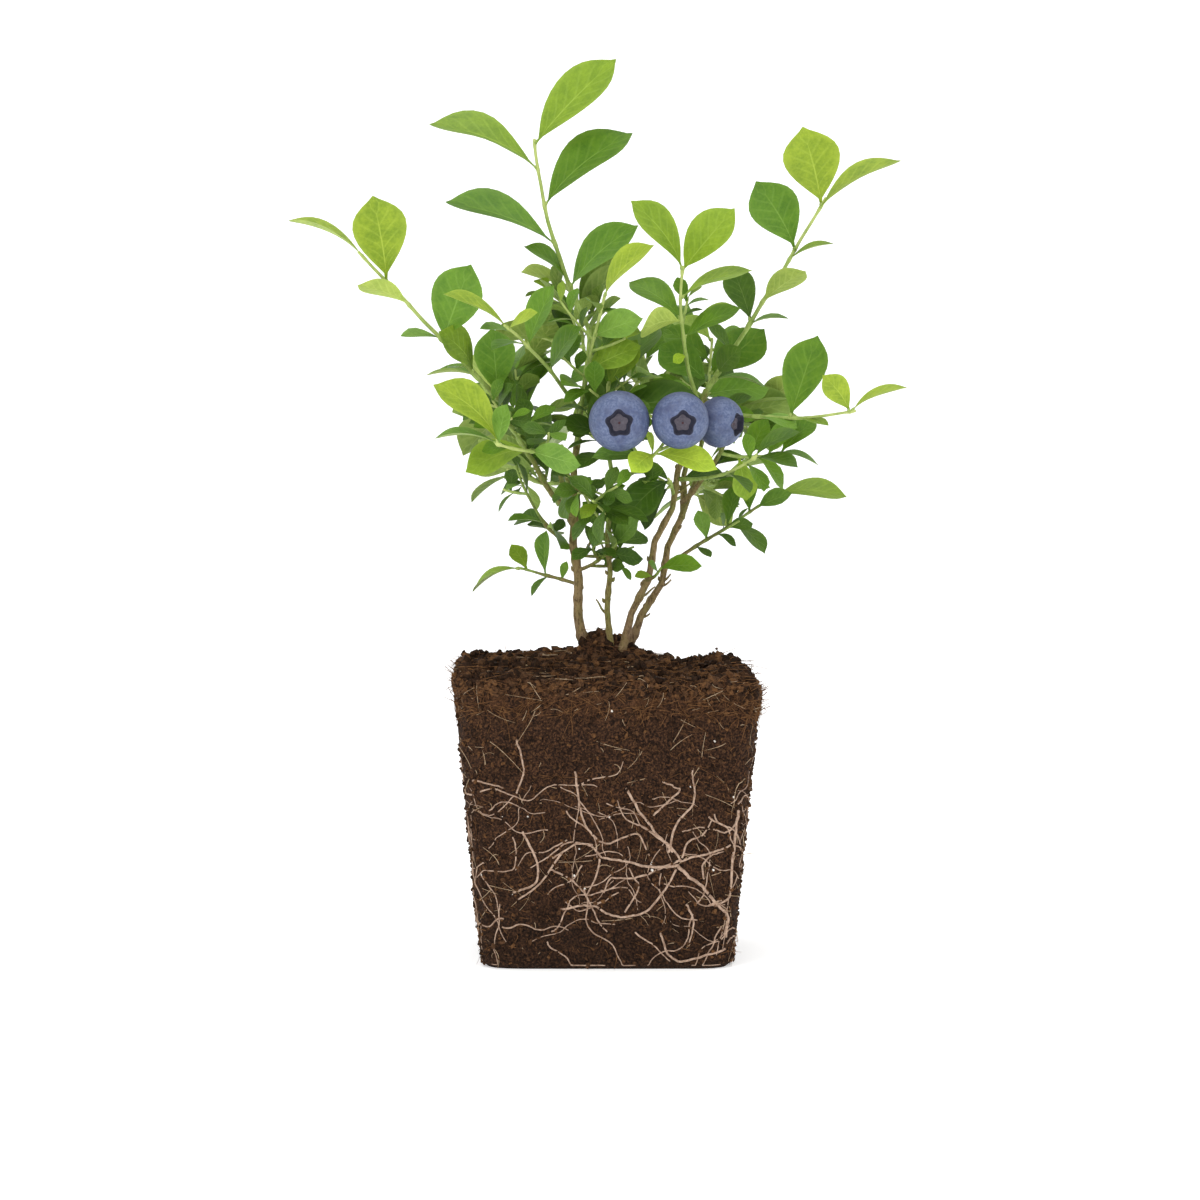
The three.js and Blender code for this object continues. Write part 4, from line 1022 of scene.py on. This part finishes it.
def berryMaterial():
    board = Board("berry_bloom")
    cloudy = board.noise(3.2, 4, roughness=0.6)
    fine = board.noise(0.7, 3)
    rubbed = (cloudy * 0.7 + fine * 0.3).smooth(0.46, 0.66)
    bloom = board.mix(fine.smooth(0.3, 0.7), colour(72, 84, 120), colour(106, 118, 146))
    skin = board.mix(rubbed * 0.55, bloom, colour(52, 56, 90))
    # Painted shade: the bloom is darker where the facing mark is under 0.5, from partway down the calyx
    # side to the equator and over the stalk half, which turn away from the front.
    skin = board.mix((1 - board.mark("facing").smooth(0.0, 0.5)) * 0.6, skin, colour(44, 48, 82))
    return board.finish({
        "Base Color": skin, "Roughness": 0.5 + 0.12 * fine, "Specular IOR Level": 0.35,
        "Normal": board.bump(fine, 0.05, 0.4),
    })


def calyxMaterial(name, base, speck):
    board = Board(name)
    grain = board.noise(0.8, 3)
    return board.finish({
        "Base Color": board.mix(grain, base, speck), "Roughness": 0.85,
        "Normal": board.bump(grain, 0.2, 0.8),
    })


# The calyx rim's near-black is partly its own dark colour and partly painted shade in the hollow of the
# crown.
berryFinishes = [berryMaterial(), calyxMaterial("calyx_rim", colour(18, 19, 32), colour(42, 44, 64)),
                 calyxMaterial("calyx_floor", colour(62, 58, 70), colour(104, 98, 106)),
                 calyxMaterial("calyx_scar", colour(56, 32, 38), colour(80, 50, 54))]


# A berry: the profile turned round its axis. Above the skin the crown is lower by the notch where
# |cos(2.5 turn)| is small, which gives five lobes, and its hollow is a star of 1 + star cos(5 turn).
def berryShape(berry):
    profile = np.array(berryLook["profile"])
    run = np.concatenate([[0], np.cumsum(np.linalg.norm(np.diff(profile, axis=0), axis=1))])
    marks = np.linspace(0, run[-1], berryLook["rows"])
    out, up = np.interp(marks, run, profile[:, 0]), np.interp(marks, run, profile[:, 1])
    sides = berryLook["sides"]
    turn = np.arange(sides) * 2 * np.pi / sides
    past = marks > run[-1] / 2
    crown = (np.clip((up - berryLook["crownLow"]) / 0.12, 0, 1) * past)[:, None]
    lobe = np.abs(np.cos(berryLook["lobes"] / 2 * turn + berry["turn"])) ** 0.8
    height = up[:, None] - crown * berryLook["notch"] * (1 - lobe)
    star = -berryLook["star"] * np.cos(berryLook["lobes"] * turn + 2 * berry["turn"])
    ring = (np.clip((0.5 - out) / 0.06, 0, 1) * np.clip((out - 0.1) / 0.1, 0, 1) * past)[:, None]
    wide = out[:, None] * (1 + ring * star)
    axis = unit(np.array(berry["facing"], float))
    side = squareTo(np.array([1.0, 0, 0]), axis)
    front = np.cross(axis, side)
    radius = berry["width"] / 2
    local = wide[..., None] * (side * np.cos(turn)[:, None] + front * np.sin(turn)[:, None])
    points = np.array(berry["centre"]) + radius * (local + height[..., None] * axis)
    ids = ringIds(len(marks), sides)
    ids[0], ids[-1] = 0, ids[-1, 0]
    rows = np.repeat(np.arange(len(marks) - 1), sides)
    ends = berryLook["skinEnd"], berryLook["rimEnd"], berryLook["floorEnd"]
    finish = np.where(past[rows], sum(out[rows] <= end for end in ends), 0)
    # The facing mark is each ring's height along the berry's axis; the bloom finish paints shade where it
    # is low.
    return shape(points, gridFaces(ids), finish=finish, facing=np.repeat(up, sides))


def makeBerries():
    main = grown[truss["name"]]["path"]
    pedicels = []
    for berry in truss["berries"]:
        facing = unit(np.array(berry["facing"], float))
        back = np.array(berry["centre"]) - facing * berry["width"] * 0.4
        path = limbPath(pointOn(main, berry["from"]), back, truss["pedicelBow"])
        t = np.linspace(0, 1, 22)
        radius = truss["pedicelWidth"] / 2 * (0.9 + 0.5 * t ** 4)  # widest at the berry
        pedicels.append(tube(pointOn(path, t), radius, 10, 0.25 + 0.1 * t))
    t = np.linspace(0, 1, 40)
    width = truss["width"] + (truss["endWidth"] - truss["width"]) * t
    stalk = tube(pointOn(main, t), width / 2, 10, 0.5 - 0.4 * t)
    makePiece("berries", [berryShape(b) for b in truss["berries"]], berryFinishes, [truss["name"]])
    makePiece("twigs_berry_truss", [stalk, *pedicels], [twigFinish])


makeBerries()
print("berries made")


soil = {
    "bottomWidth": 72, "topWidth": 87, "rimHeight": 81.5, "squareness": 9, "edgeRound": 2.2, "relief": 0.35,
    "mounds": [{"centre": (-3, 2), "height": 4.5, "width": 52},
               {"centre": (-1, 0), "height": 6, "width": 13}],
    "topLine": ((-46, 0), (-42, 1.5), (-25, 1), (8, 1), (20, -1), (28, 0), (33, 1.5), (38, 0), (42, -3),
                (46, -6)),
    "sides": 440, "bottomRows": 6, "sideRows": 100, "topRows": 56,
    "sideRough": 0.45, "topRough": 1.7, "shapedFrom": 55,  # the height from which the top line counts
}


def lumps(x, y, z):  # sines of x, y and z times each other, at three scales
    return (np.sin(0.23 * x + 0.9) * np.sin(0.29 * y + 0.31 * z)
            + 0.6 * np.sin(0.47 * y - 0.37 * z + 2) * np.sin(0.41 * x + 0.2 * z)
            + 0.4 * np.sin(0.83 * x + 1.1 * z) * np.sin(0.71 * y - 0.57 * x))


def halfWidth(height):  # of the root ball, which widens upwards
    return (soil["bottomWidth"] + (soil["topWidth"] - soil["bottomWidth"]) * height / soil["rimHeight"]) / 2


# The soil's surface before its crumbs: a rounded square |cos|^n + |sin|^n = 1 with lumps, heaped up round
# the stems. Its top rises and falls from left to right along the top line.
def soilPoint(angle, reach, height):
    cosine, sine = np.cos(angle), np.sin(angle)
    power = soil["squareness"]
    corner = (np.abs(cosine) ** power + np.abs(sine) ** power) ** (-1 / power)
    spread = reach * corner * halfWidth(height)
    x, y = spread * cosine, spread * sine
    bump = soil["relief"] * lumps(x, y, height)
    mound = 0
    for heap in soil["mounds"]:
        away = (x - heap["centre"][0]) ** 2 + (y - heap["centre"][1]) ** 2
        mound = mound + heap["height"] * np.exp(-away / (heap["width"] / 2) ** 2)
    top = np.clip((height - soil["rimHeight"] + 1.5) / 1.5, 0, 1)
    side = np.clip(height / 2, 0, 1) * (1 - top)
    start = soil["shapedFrom"]
    share = np.clip((height - start) / (soil["rimHeight"] - start), 0, 1)
    lowered = share ** 2 * np.interp(x, *zip(*soil["topLine"]))
    raised = height + lowered + top * (mound + bump)
    return np.stack([x + side * bump * cosine, y + side * bump * sine, raised], axis=-1)


# How far crumbs and hollows stand off the surface at a point: clouds of several sizes.
def soilRough(points, top):
    coarse = fractal(points, 9, 2, 3) * 0.5 * top
    fine = fractal(points, 2.2, 3, 11) * 0.6
    rough = soil["sideRough"] + (soil["topRough"] - soil["sideRough"]) * top
    return rough * (coarse + fine)


# The root ball: its profile goes over the flat underside, up the side, round the top edge by a quarter
# turn and in to the middle. Each point then stands off by the roughness, square to the surface.
def makeSoil():
    edge = soil["edgeRound"]
    bottom = 1 - 2 * edge / soil["bottomWidth"] * 0.6
    rim = soil["rimHeight"]
    turn = np.linspace(0, np.pi / 2, 7)[1:-1]
    reach = np.concatenate([np.linspace(0, bottom, soil["bottomRows"]), np.ones(soil["sideRows"]),
                            1 - (1 - np.cos(turn)) * 2 * edge / soil["topWidth"],
                            np.linspace(1 - 2 * edge / soil["topWidth"], 0, soil["topRows"])])
    height = np.concatenate([np.zeros(soil["bottomRows"]),
                             np.linspace(edge * 0.6, rim - edge, soil["sideRows"]),
                             rim - edge + edge * np.sin(turn), np.full(soil["topRows"], rim)])
    angle = np.arange(soil["sides"]) * 2 * np.pi / soil["sides"]
    reach, height, angle = np.broadcast_arrays(reach[:, None], height[:, None], angle[None, :])
    points = soilPoint(angle, reach, height)
    ahead = np.gradient(points, axis=0)
    out = np.cross(np.roll(points, -1, axis=1) - np.roll(points, 1, axis=1), ahead)
    out = out / np.maximum(np.linalg.norm(out, axis=-1, keepdims=True), 1e-9)
    top = np.clip((height - rim + 3) / 3, 0, 1)
    foot = np.clip(height / 1.5, 0, 1)
    points = points + out * (soilRough(points, top) * foot)[..., None]
    points[..., 2] = np.maximum(points[..., 2], 0)
    ids = ringIds(len(points), soil["sides"])
    ids[0], ids[-1] = 0, ids[-1, 0]
    return shape(points, gridFaces(ids))


# A spot on the root ball's sides and the way out of it. around counts the faces from the middle of the
# front, which is 0, to the right one, which is 1, and so on.
def sideSpot(around, height, lift=0.0):
    face = np.rint(around)
    angle = (face - 1) * np.pi / 2 + np.arctan(2 * (around - face))
    whole = np.ones_like(angle)
    spot = soilPoint(angle, whole, height)
    along = soilPoint(angle + 0.01, whole, height) - soilPoint(angle - 0.01, whole, height)
    up = soilPoint(angle, whole, height + 0.5) - soilPoint(angle, whole, height - 0.5)
    out = unit(np.cross(along, up))
    return spot + out * (soilRough(spot, 0) * np.clip(height / 1.5, 0, 1) + lift)[..., None], out


def topSpot(angle, reach, lift=0.0):  # a spot on the root ball's top
    spot = soilPoint(angle, reach, np.full_like(angle, soil["rimHeight"]))
    up = np.broadcast_to(np.array([0, 0, 1.0]), spot.shape)
    return spot + up * (soilRough(spot, 1) + lift)[..., None], up


crumb = {  # how many of each kind, their half sizes, and how many are dark, brown and reddish
    "top": 4300, "topSizes": (0.35, 1.7), "topMix": (0.5, 0.34, 0.16),
    "rim": 1300, "rimSizes": (0.35, 1.0), "rimMix": (0.3, 0.45, 0.25), "rimBand": (78, 81.5),
    "side": 3600, "sideSizes": (0.3, 0.7), "sideMix": (0.45, 0.4, 0.15), "sideBand": (1, 80),
    "specks": 40, "speckSizes": (0.2, 0.42), "speckBand": (8, 78),
    "uneven": 0.35,
}
allRound = (-0.5, 3.5)  # the four faces


def ballForm():  # an octahedron with each face split in four, on a ball of radius 1
    ends = np.array([[1, 0, 0], [0, 1, 0], [-1, 0, 0], [0, -1, 0], [0, 0, 1], [0, 0, -1]], float)
    faces = []
    middles = {}
    points = list(ends)
    for i in range(4):
        for a, b, c in ((i, (i + 1) % 4, 4), ((i + 1) % 4, i, 5)):
            half = []
            for pair in ((a, b), (b, c), (c, a)):
                key = tuple(sorted(pair))
                if key not in middles:
                    middles[key] = len(points)
                    points.append(unit(ends[key[0]] + ends[key[1]]))
                half.append(middles[key])
            faces += [(a, half[0], half[2]), (b, half[1], half[0]), (c, half[2], half[1]), tuple(half)]
    return np.array(points), np.array([(*face, face[2]) for face in faces])


def turns(count, rng):  # random rotations, from random quaternions
    w, x, y, z = unit(rng.normal(size=(count, 4))).T
    return np.stack([
        np.stack([1 - 2 * (y * y + z * z), 2 * (x * y - z * w), 2 * (x * z + y * w)], -1),
        np.stack([2 * (x * y + z * w), 1 - 2 * (x * x + z * z), 2 * (y * z - x * w)], -1),
        np.stack([2 * (x * z - y * w), 2 * (y * z + x * w), 1 - 2 * (x * x + y * y)], -1),
    ], 1)


def copies(points, faces, finish):  # one form many times over, held above the ground
    points[..., 2] = np.maximum(points[..., 2], 0)
    every = faces + np.arange(len(points))[:, None, None] * points.shape[1]
    return shape(points, every.reshape(-1, 4), finish=np.repeat(finish, len(faces)))


# Crumbs at many spots at once: each is a ball with every point moved in or out, stretched and turned.
def crumbShape(spots, sizes, finish, rng):
    form, faces = ballForm()
    count = len(spots)
    sizes = sizes[:, None, None] * rng.uniform(0.6, 1.3, (count, 1, 3))
    lumpy = form * (1 + crumb["uneven"] * rng.uniform(-1, 1, (count, len(form), 1))) * sizes
    points = spots[:, None] + np.einsum("nij,nkj->nki", turns(count, rng), lumpy)
    return copies(points, faces, finish)


# Threads at many feet at once: each goes ahead from its foot and bends aside as t^2.
def threadShape(feet, ahead, bend, length, radius, finish, rings, sides=3):
    t = np.linspace(0, 1, rings)[:, None]
    length = length[:, None, None]
    line = feet[:, None] + length * (ahead[:, None] * t + bend[:, None] * t ** 2)
    along = unit(ahead[:, None] + 2 * bend[:, None] * t)
    aside = squareTo(np.where(np.abs(along[..., 2:]) < 0.8, [0, 0, 1.0], [1.0, 0, 0]), along)
    front = np.cross(aside, along)
    turn = np.arange(sides)[:, None] * 2 * np.pi / sides
    thick = radius[:, None, None, None] * (1 - 0.5 * t[None, :, None])
    tubes = line[:, :, None] + thick * (aside[:, :, None] * np.cos(turn) + front[:, :, None] * np.sin(turn))
    points = np.concatenate([tubes.reshape(len(feet), -1, 3), line[:, :1], line[:, -1:]], axis=1)
    per = rings * sides + 2
    end = np.ones((1, sides + 1), int)
    ids = np.concatenate([end * (per - 2), ringIds(rings, sides), end * (per - 1)])
    return copies(points, gridFaces(ids, flip=True), finish)


# rise is how far a fibre stands up from the surface, climb how far it may go up, and pale the share of
# pale ones. band is the heights that it grows between; the last kind grows on top.
fibre = {
    "radius": (0.07, 0.17), "bend": (0.2, 1.1), "settle": 0.8, "bendUp": 0.1,
    "kinds": [
        {"count": 1500, "lengths": (2, 6.5), "band": (72, 82), "rise": 0.14, "climb": 0.15, "pale": 0.12,
         "rings": 5},
        {"count": 1600, "lengths": (0.8, 2.6), "band": (4, 82), "rise": 1.0, "climb": 1, "pale": 0.12,
         "rings": 4},
        {"count": 420, "lengths": (3, 8), "band": (4, 66), "rise": 0.05, "climb": 1, "pale": 0.7,
         "rings": 5},
        {"count": 900, "lengths": (2.5, 6), "rise": 0.2, "climb": 1, "pale": 0.12, "rings": 5},
    ],
}


def makeCrumbs():
    rng = np.random.default_rng(31)
    count = crumb["top"]
    angle, reach = rng.uniform(0, 2 * np.pi, count), np.sqrt(rng.uniform(0, 1, count))
    least, most = crumb["topSizes"]
    sizes = least + (most - least) * rng.uniform(0, 1, count) ** 4  # mostly small ones
    spots = topSpot(angle, reach * 0.985, sizes * 0.2)[0]
    heap = crumbShape(spots, sizes, rng.choice(3, count, p=crumb["topMix"]), rng)
    count = crumb["rim"]
    around, sizes = rng.uniform(*allRound, count), rng.uniform(*crumb["rimSizes"], count)
    spots = sideSpot(around, rng.uniform(*crumb["rimBand"], count), -sizes * 0.1)[0]
    rim = crumbShape(spots, sizes, rng.choice(3, count, p=crumb["rimMix"]), rng)
    makePiece("crumbs_top", [heap, rim], crumbFinishes, sharp=50)

    count = crumb["side"]
    spots = sideSpot(rng.uniform(*allRound, count), rng.uniform(*crumb["sideBand"], count), 0.05)[0]
    sizes = rng.uniform(*crumb["sideSizes"], count)
    grain = crumbShape(spots, sizes, rng.choice(3, count, p=crumb["sideMix"]), rng)
    count = crumb["specks"]
    spots = sideSpot(rng.uniform(*allRound, count), rng.uniform(*crumb["speckBand"], count), 0.15)[0]
    specks = crumbShape(spots, rng.uniform(*crumb["speckSizes"], count), np.full(count, 3), rng)
    makePiece("crumbs_sides", [grain, specks], crumbFinishes, sharp=50)


def flatWays(out, rng):  # random ways along a surface
    return squareTo(rng.normal(size=out.shape), out)


def makeFibres():
    rng = np.random.default_rng(57)
    shapes = []
    for kind in fibre["kinds"]:
        count = kind["count"]
        if "band" in kind:
            feet, out = sideSpot(rng.uniform(*allRound, count), rng.uniform(*kind["band"], count), 0.1)
        else:
            turn, share = rng.uniform(0, 2 * np.pi, count), np.sqrt(rng.uniform(0, 1, count)) * 0.97
            feet, out = topSpot(turn, share, 0.5)
        rise = kind["rise"] * rng.uniform(0, 1, (count, 1))
        ways = flatWays(out, rng)
        ways[:, 2] = np.minimum(ways[:, 2], kind["climb"])
        ahead = unit(ways + out * rise)
        bend = flatWays(out, rng) * rng.uniform(*fibre["bend"], (count, 1)) - out * rise * fibre["settle"]
        bend[:, 2] = np.minimum(bend[:, 2], fibre["bendUp"])
        finish = rng.choice(2, count, p=[1 - kind["pale"], kind["pale"]])
        length, radius = rng.uniform(*kind["lengths"], count), rng.uniform(*fibre["radius"], count)
        shapes.append(threadShape(feet, ahead, bend, length, radius, finish, kind["rings"]))
    makePiece("fibres", shapes, fibreFinishes, sharp=180)


# The roots that lie in the front face, each with its widths and its course over the face as (x, height).
roots = {
    "front": [
        (1.0, 0.8, [(5.4, 52), (9, 47.4), (12.7, 43), (14.4, 39), (20.3, 30.4)]),
        (1.3, 0.9, [(20.3, 30.4), (25.4, 24.5), (29, 19.4), (34.7, 15), (35.5, 10)]),
        (0.6, 0.9, [(24.5, 58), (24.5, 47.3), (19.5, 42.3), (17.8, 35)]),
        (0.6, 0.8, [(16, 55), (21, 51.6), (13, 44)]),
        (1.1, 0.6, [(20.3, 30.4), (9.3, 31), (-2.5, 31.2), (-3.9, 35.5), (-8.5, 37.2), (-15, 33)]),
        (0.8, 0.5, [(-2.5, 31.2), (-3.4, 26), (-6, 21)]),
        (0.9, 0.5, [(20.3, 30.4), (8, 28), (1.5, 28.5), (-1, 22)]),
        (0.8, 0.8, [(19, 28), (15.5, 21), (11, 16), (0.8, 14), (-5.9, 16.8), (-13.5, 15.7)]),
        (0.9, 0.7, [(20.3, 30.4), (28, 33.3), (35, 36)]),
        (1.1, 0.8, [(40, 46), (39, 34.6), (37.2, 23.6), (33, 18.5), (28.8, 19.1)]),
        (0.8, 0.8, [(14.7, 10), (16, 5), (19.5, 2.4), (26, 4.9), (34, 6.6)]),
        (0.8, 0.6, [(-9.3, 56.4), (-8.5, 49), (-6.5, 43), (0, 36), (8.5, 39.4), (12, 33)]),
        (0.7, 0.6, [(-25.4, 66), (-24, 55.5), (-26, 50)]),
        (0.9, 0.8, [(-24, 39), (-18.6, 30.4), (-19.2, 26), (-27, 22)]),
        (0.8, 0.6, [(-13, 33), (-19, 24), (-25, 20)]),
        (0.7, 0.5, [(-16, 29), (-8, 23), (0, 11)]),
        (0.7, 0.5, [(40, 45), (33, 38), (27, 42), (22, 41)]),
        (0.7, 0.5, [(-39, 54), (-30, 51)]),
        (0.8, 0.4, [(18, 33.3), (10.3, 40.4), (5, 44), (3, 49)]),
        (0.8, 0.5, [(20.3, 30.4), (22, 36), (27, 38.6), (30, 44)]),
        (0.8, 0.5, [(27, 25.6), (26.3, 29.5), (29.6, 33.3), (34, 35.3)]),
        (0.7, 0.5, [(5, 16.6), (9, 23), (6.5, 29.5)]),
        (0.8, 0.5, [(22, 18), (24.4, 13), (23.4, 7.8)]),
        (0.7, 0.4, [(-4, 36), (-11.6, 36.6), (-15.3, 33.4), (-21, 31)]),
    ],
    "walks": 190, "steps": (12, 40), "stepLength": 1.0, "faceWidth": 80, "widths": (0.28, 0.65),
    "starts": (6, 54), "ends": (1.2, 76),  # the heights between which a walk starts, and ends
    "headings": (-1.9, -1.2, -0.5, -2.6, 0.3, 2.9), "drift": 0.17,  # in radians
}


def frontRound(x, height):  # the faces round from the front's middle of a spot at x on the front
    half = halfWidth(height)
    power = soil["squareness"]
    depth = half * (1 - np.minimum(np.abs(x / half), 0.97) ** power) ** (1 / power)
    return np.clip(x / depth, -0.98, 0.98) / 2


def rootTube(around, height, first, last):  # half sunk into the side
    width = np.linspace(first, last, len(around)) * 0.42
    line = sideSpot(around, height, width * 0.4)[0]
    return tube(line, width, 6, 0)


# A root over a side: it keeps its heading, which turns a little at each step, and leans downwards.
def rootWalk(rng):
    count = int(rng.integers(*roots["steps"]))
    drift = np.cumsum(rng.normal(0, roots["drift"], count))
    drift = drift + 0.35 * np.sin(np.arange(count) * rng.uniform(0.25, 0.5))
    heading = rng.choice(roots["headings"]) + drift
    height = rng.uniform(*roots["starts"]) + np.cumsum(np.sin(heading)) * roots["stepLength"]
    around = rng.uniform(*allRound) + np.cumsum(np.cos(heading)) * roots["stepLength"] / roots["faceWidth"]
    width = rng.uniform(*roots["widths"])
    return rootTube(around, np.clip(height, *roots["ends"]), width, width * 0.6)


def makeRoots():
    rng = np.random.default_rng(83)
    tubes = []
    for first, last, course in roots["front"]:
        x, height = np.array(course, float).T
        run = np.concatenate([[0], np.cumsum(np.hypot(np.diff(x), np.diff(height)))])
        marks = np.linspace(0, run[-1], int(run[-1] / 0.8) + 4)
        line = np.stack([np.interp(marks, run, x), np.interp(marks, run, height)])
        for i in range(8):  # rounds the bends
            line[:, 1:-1] = (line[:, :-2] + line[:, 1:-1] * 2 + line[:, 2:]) / 4
        x, height = line
        sway = np.cumsum(rng.normal(0, 0.12, len(x)))
        sway = sway + 0.9 * np.sin(np.linspace(0, run[-1] / 5, len(x)) + first * 9)
        tubes.append(rootTube(frontRound(x + sway * 0.5, height), height + sway, first, last))
    tubes += [rootWalk(rng) for i in range(roots["walks"])]
    makePiece("roots", tubes, [plainSoil("root_skin", (140, 114, 96), (184, 158, 138), 1.2)])


def plainSoil(name, dark, pale, size):
    board = Board(name)
    grain = board.noise(size, 3, roughness=0.7)
    return board.finish({
        "Base Color": board.mix(grain.smooth(0.35, 0.65), colour(*dark), colour(*pale)), "Roughness": 0.95,
        "Specular IOR Level": 0.1, "Normal": board.bump(grain, 0.2, 0.6),
    })


def soilMaterial():
    board = Board("peat")
    spot = board.add("TexCoord", output="Object")
    split = board.add("SeparateXYZ", None, {"Vector": spot})
    height = Wire(board, split.socket.node.outputs["Z"]) * (1 / mm)
    grain = board.noise(0.65, 3, roughness=0.7)
    clump = board.noise(3, 4, roughness=0.7)
    base = board.mix(clump.smooth(0.3, 0.7), colour(42, 28, 20), colour(56, 38, 27))
    base = board.mix(grain.smooth(0.5, 0.64) * 0.85, base, colour(96, 66, 45))
    fringe = height.smooth(68, 78) * clump.smooth(0.4, 0.6)
    base = board.mix(fringe * 0.45, base, colour(98, 66, 42))
    # darker towards the bottom
    base = board.mix((1 - height.smooth(8, 30)) * 0.4, base, colour(34, 24, 18))
    # Painted shade: near-black in the pores, where the grain that drives the bump is lowest.
    base = board.mix((1 - grain).smooth(0.52, 0.64) * 0.9, base, colour(18, 12, 9))
    return board.finish({
        "Base Color": base, "Roughness": 0.95, "Specular IOR Level": 0.1,
        "Normal": board.bump(grain, 0.9, 1.0),
    })


crumbFinishes = [plainSoil("crumb_dark", (28, 19, 13), (56, 38, 26), 0.8),
                 plainSoil("crumb_brown", (56, 39, 27), (88, 62, 42), 0.8),
                 plainSoil("crumb_red", (74, 50, 32), (108, 76, 48), 0.8),
                 plainSoil("perlite", (196, 188, 176), (236, 232, 226), 0.6)]
fibreFinishes = [plainSoil("fibre_brown", (88, 60, 38), (126, 90, 58), 1.5),
                 plainSoil("fibre_pale", (150, 124, 96), (190, 166, 136), 1.5)]
makePiece("soil_body", [makeSoil()], [soilMaterial()], ["root_ball"], sharp=180)
makeCrumbs()
makeFibres()
makeRoots()
print("root ball made")


studio = {
    "floorRadius": 3.4, "bend": 1.2, "wall": 1.5, "colour": colour(250, 250, 250),
    "lights": [
        {"name": "key", "place": (-0.75, -1.1, 1.25), "size": 0.9, "power": 8.5},
        {"name": "fill", "place": (1.0, -1.0, 0.7), "size": 1.1, "power": 2},
        {"name": "top", "place": (0.1, 0.2, 1.5), "size": 0.9, "power": 7},
    ],
    "aim": (0, 0, 0.12), "world": 0.6, "glow": 0.4,
}


# The floor: a disc that bends up by a quarter turn into a round wall.
def makeStudio():
    turn = np.linspace(0, np.pi / 2, 16)
    reach = np.concatenate([[0, 0.4, 1.0, 1.5], studio["floorRadius"] + studio["bend"] * np.sin(turn)])
    height = np.concatenate([[0, 0, 0, 0], studio["bend"] * (1 - np.cos(turn))])
    reach = np.append(reach, reach[-1])
    height = np.append(height, height[-1] + studio["wall"])
    sides = 96
    angle = np.arange(sides) * 2 * np.pi / sides
    points = np.stack([reach[:, None] * np.cos(angle), reach[:, None] * np.sin(angle),
                       height[:, None] + 0 * angle], axis=-1)
    ids = ringIds(len(reach), sides)
    ids[0] = 0
    faces = gridFaces(ids)
    mesh = bpy.data.meshes.new("floor")
    mesh.from_pydata(points.reshape(-1, 3).tolist(), [], [list(dict.fromkeys(f)) for f in faces.tolist()])
    mesh.polygons.foreach_set("use_smooth", np.ones(len(mesh.polygons), bool))
    board = Board("floor_paper")
    mesh.materials.append(board.finish({
        "Base Color": studio["colour"], "Roughness": 0.9,
        "Emission Color": studio["colour"], "Emission Strength": studio["glow"],
    }))
    floor = bpy.data.objects.new("floor", mesh)
    scene.collection.objects.link(floor)
    for lamp in studio["lights"]:
        area = bpy.data.lights.new(lamp["name"], "AREA")
        area.shape, area.size, area.energy = "DISK", lamp["size"], lamp["power"]
        holder = bpy.data.objects.new(lamp["name"], area)
        holder.location = lamp["place"]
        aim = np.array(studio["aim"]) - np.array(lamp["place"])
        flat = math.hypot(aim[0], aim[1])
        holder.rotation_euler = (math.atan2(flat, -aim[2]), 0, math.atan2(-aim[0], aim[1]))
        scene.collection.objects.link(holder)
    world = bpy.data.worlds.new("studio")
    world.use_nodes = True
    backdrop = world.node_tree.nodes["Background"]
    backdrop.inputs["Color"].default_value = (1, 1, 1, 1)
    backdrop.inputs["Strength"].default_value = studio["world"]
    scene.world = world


makeStudio()
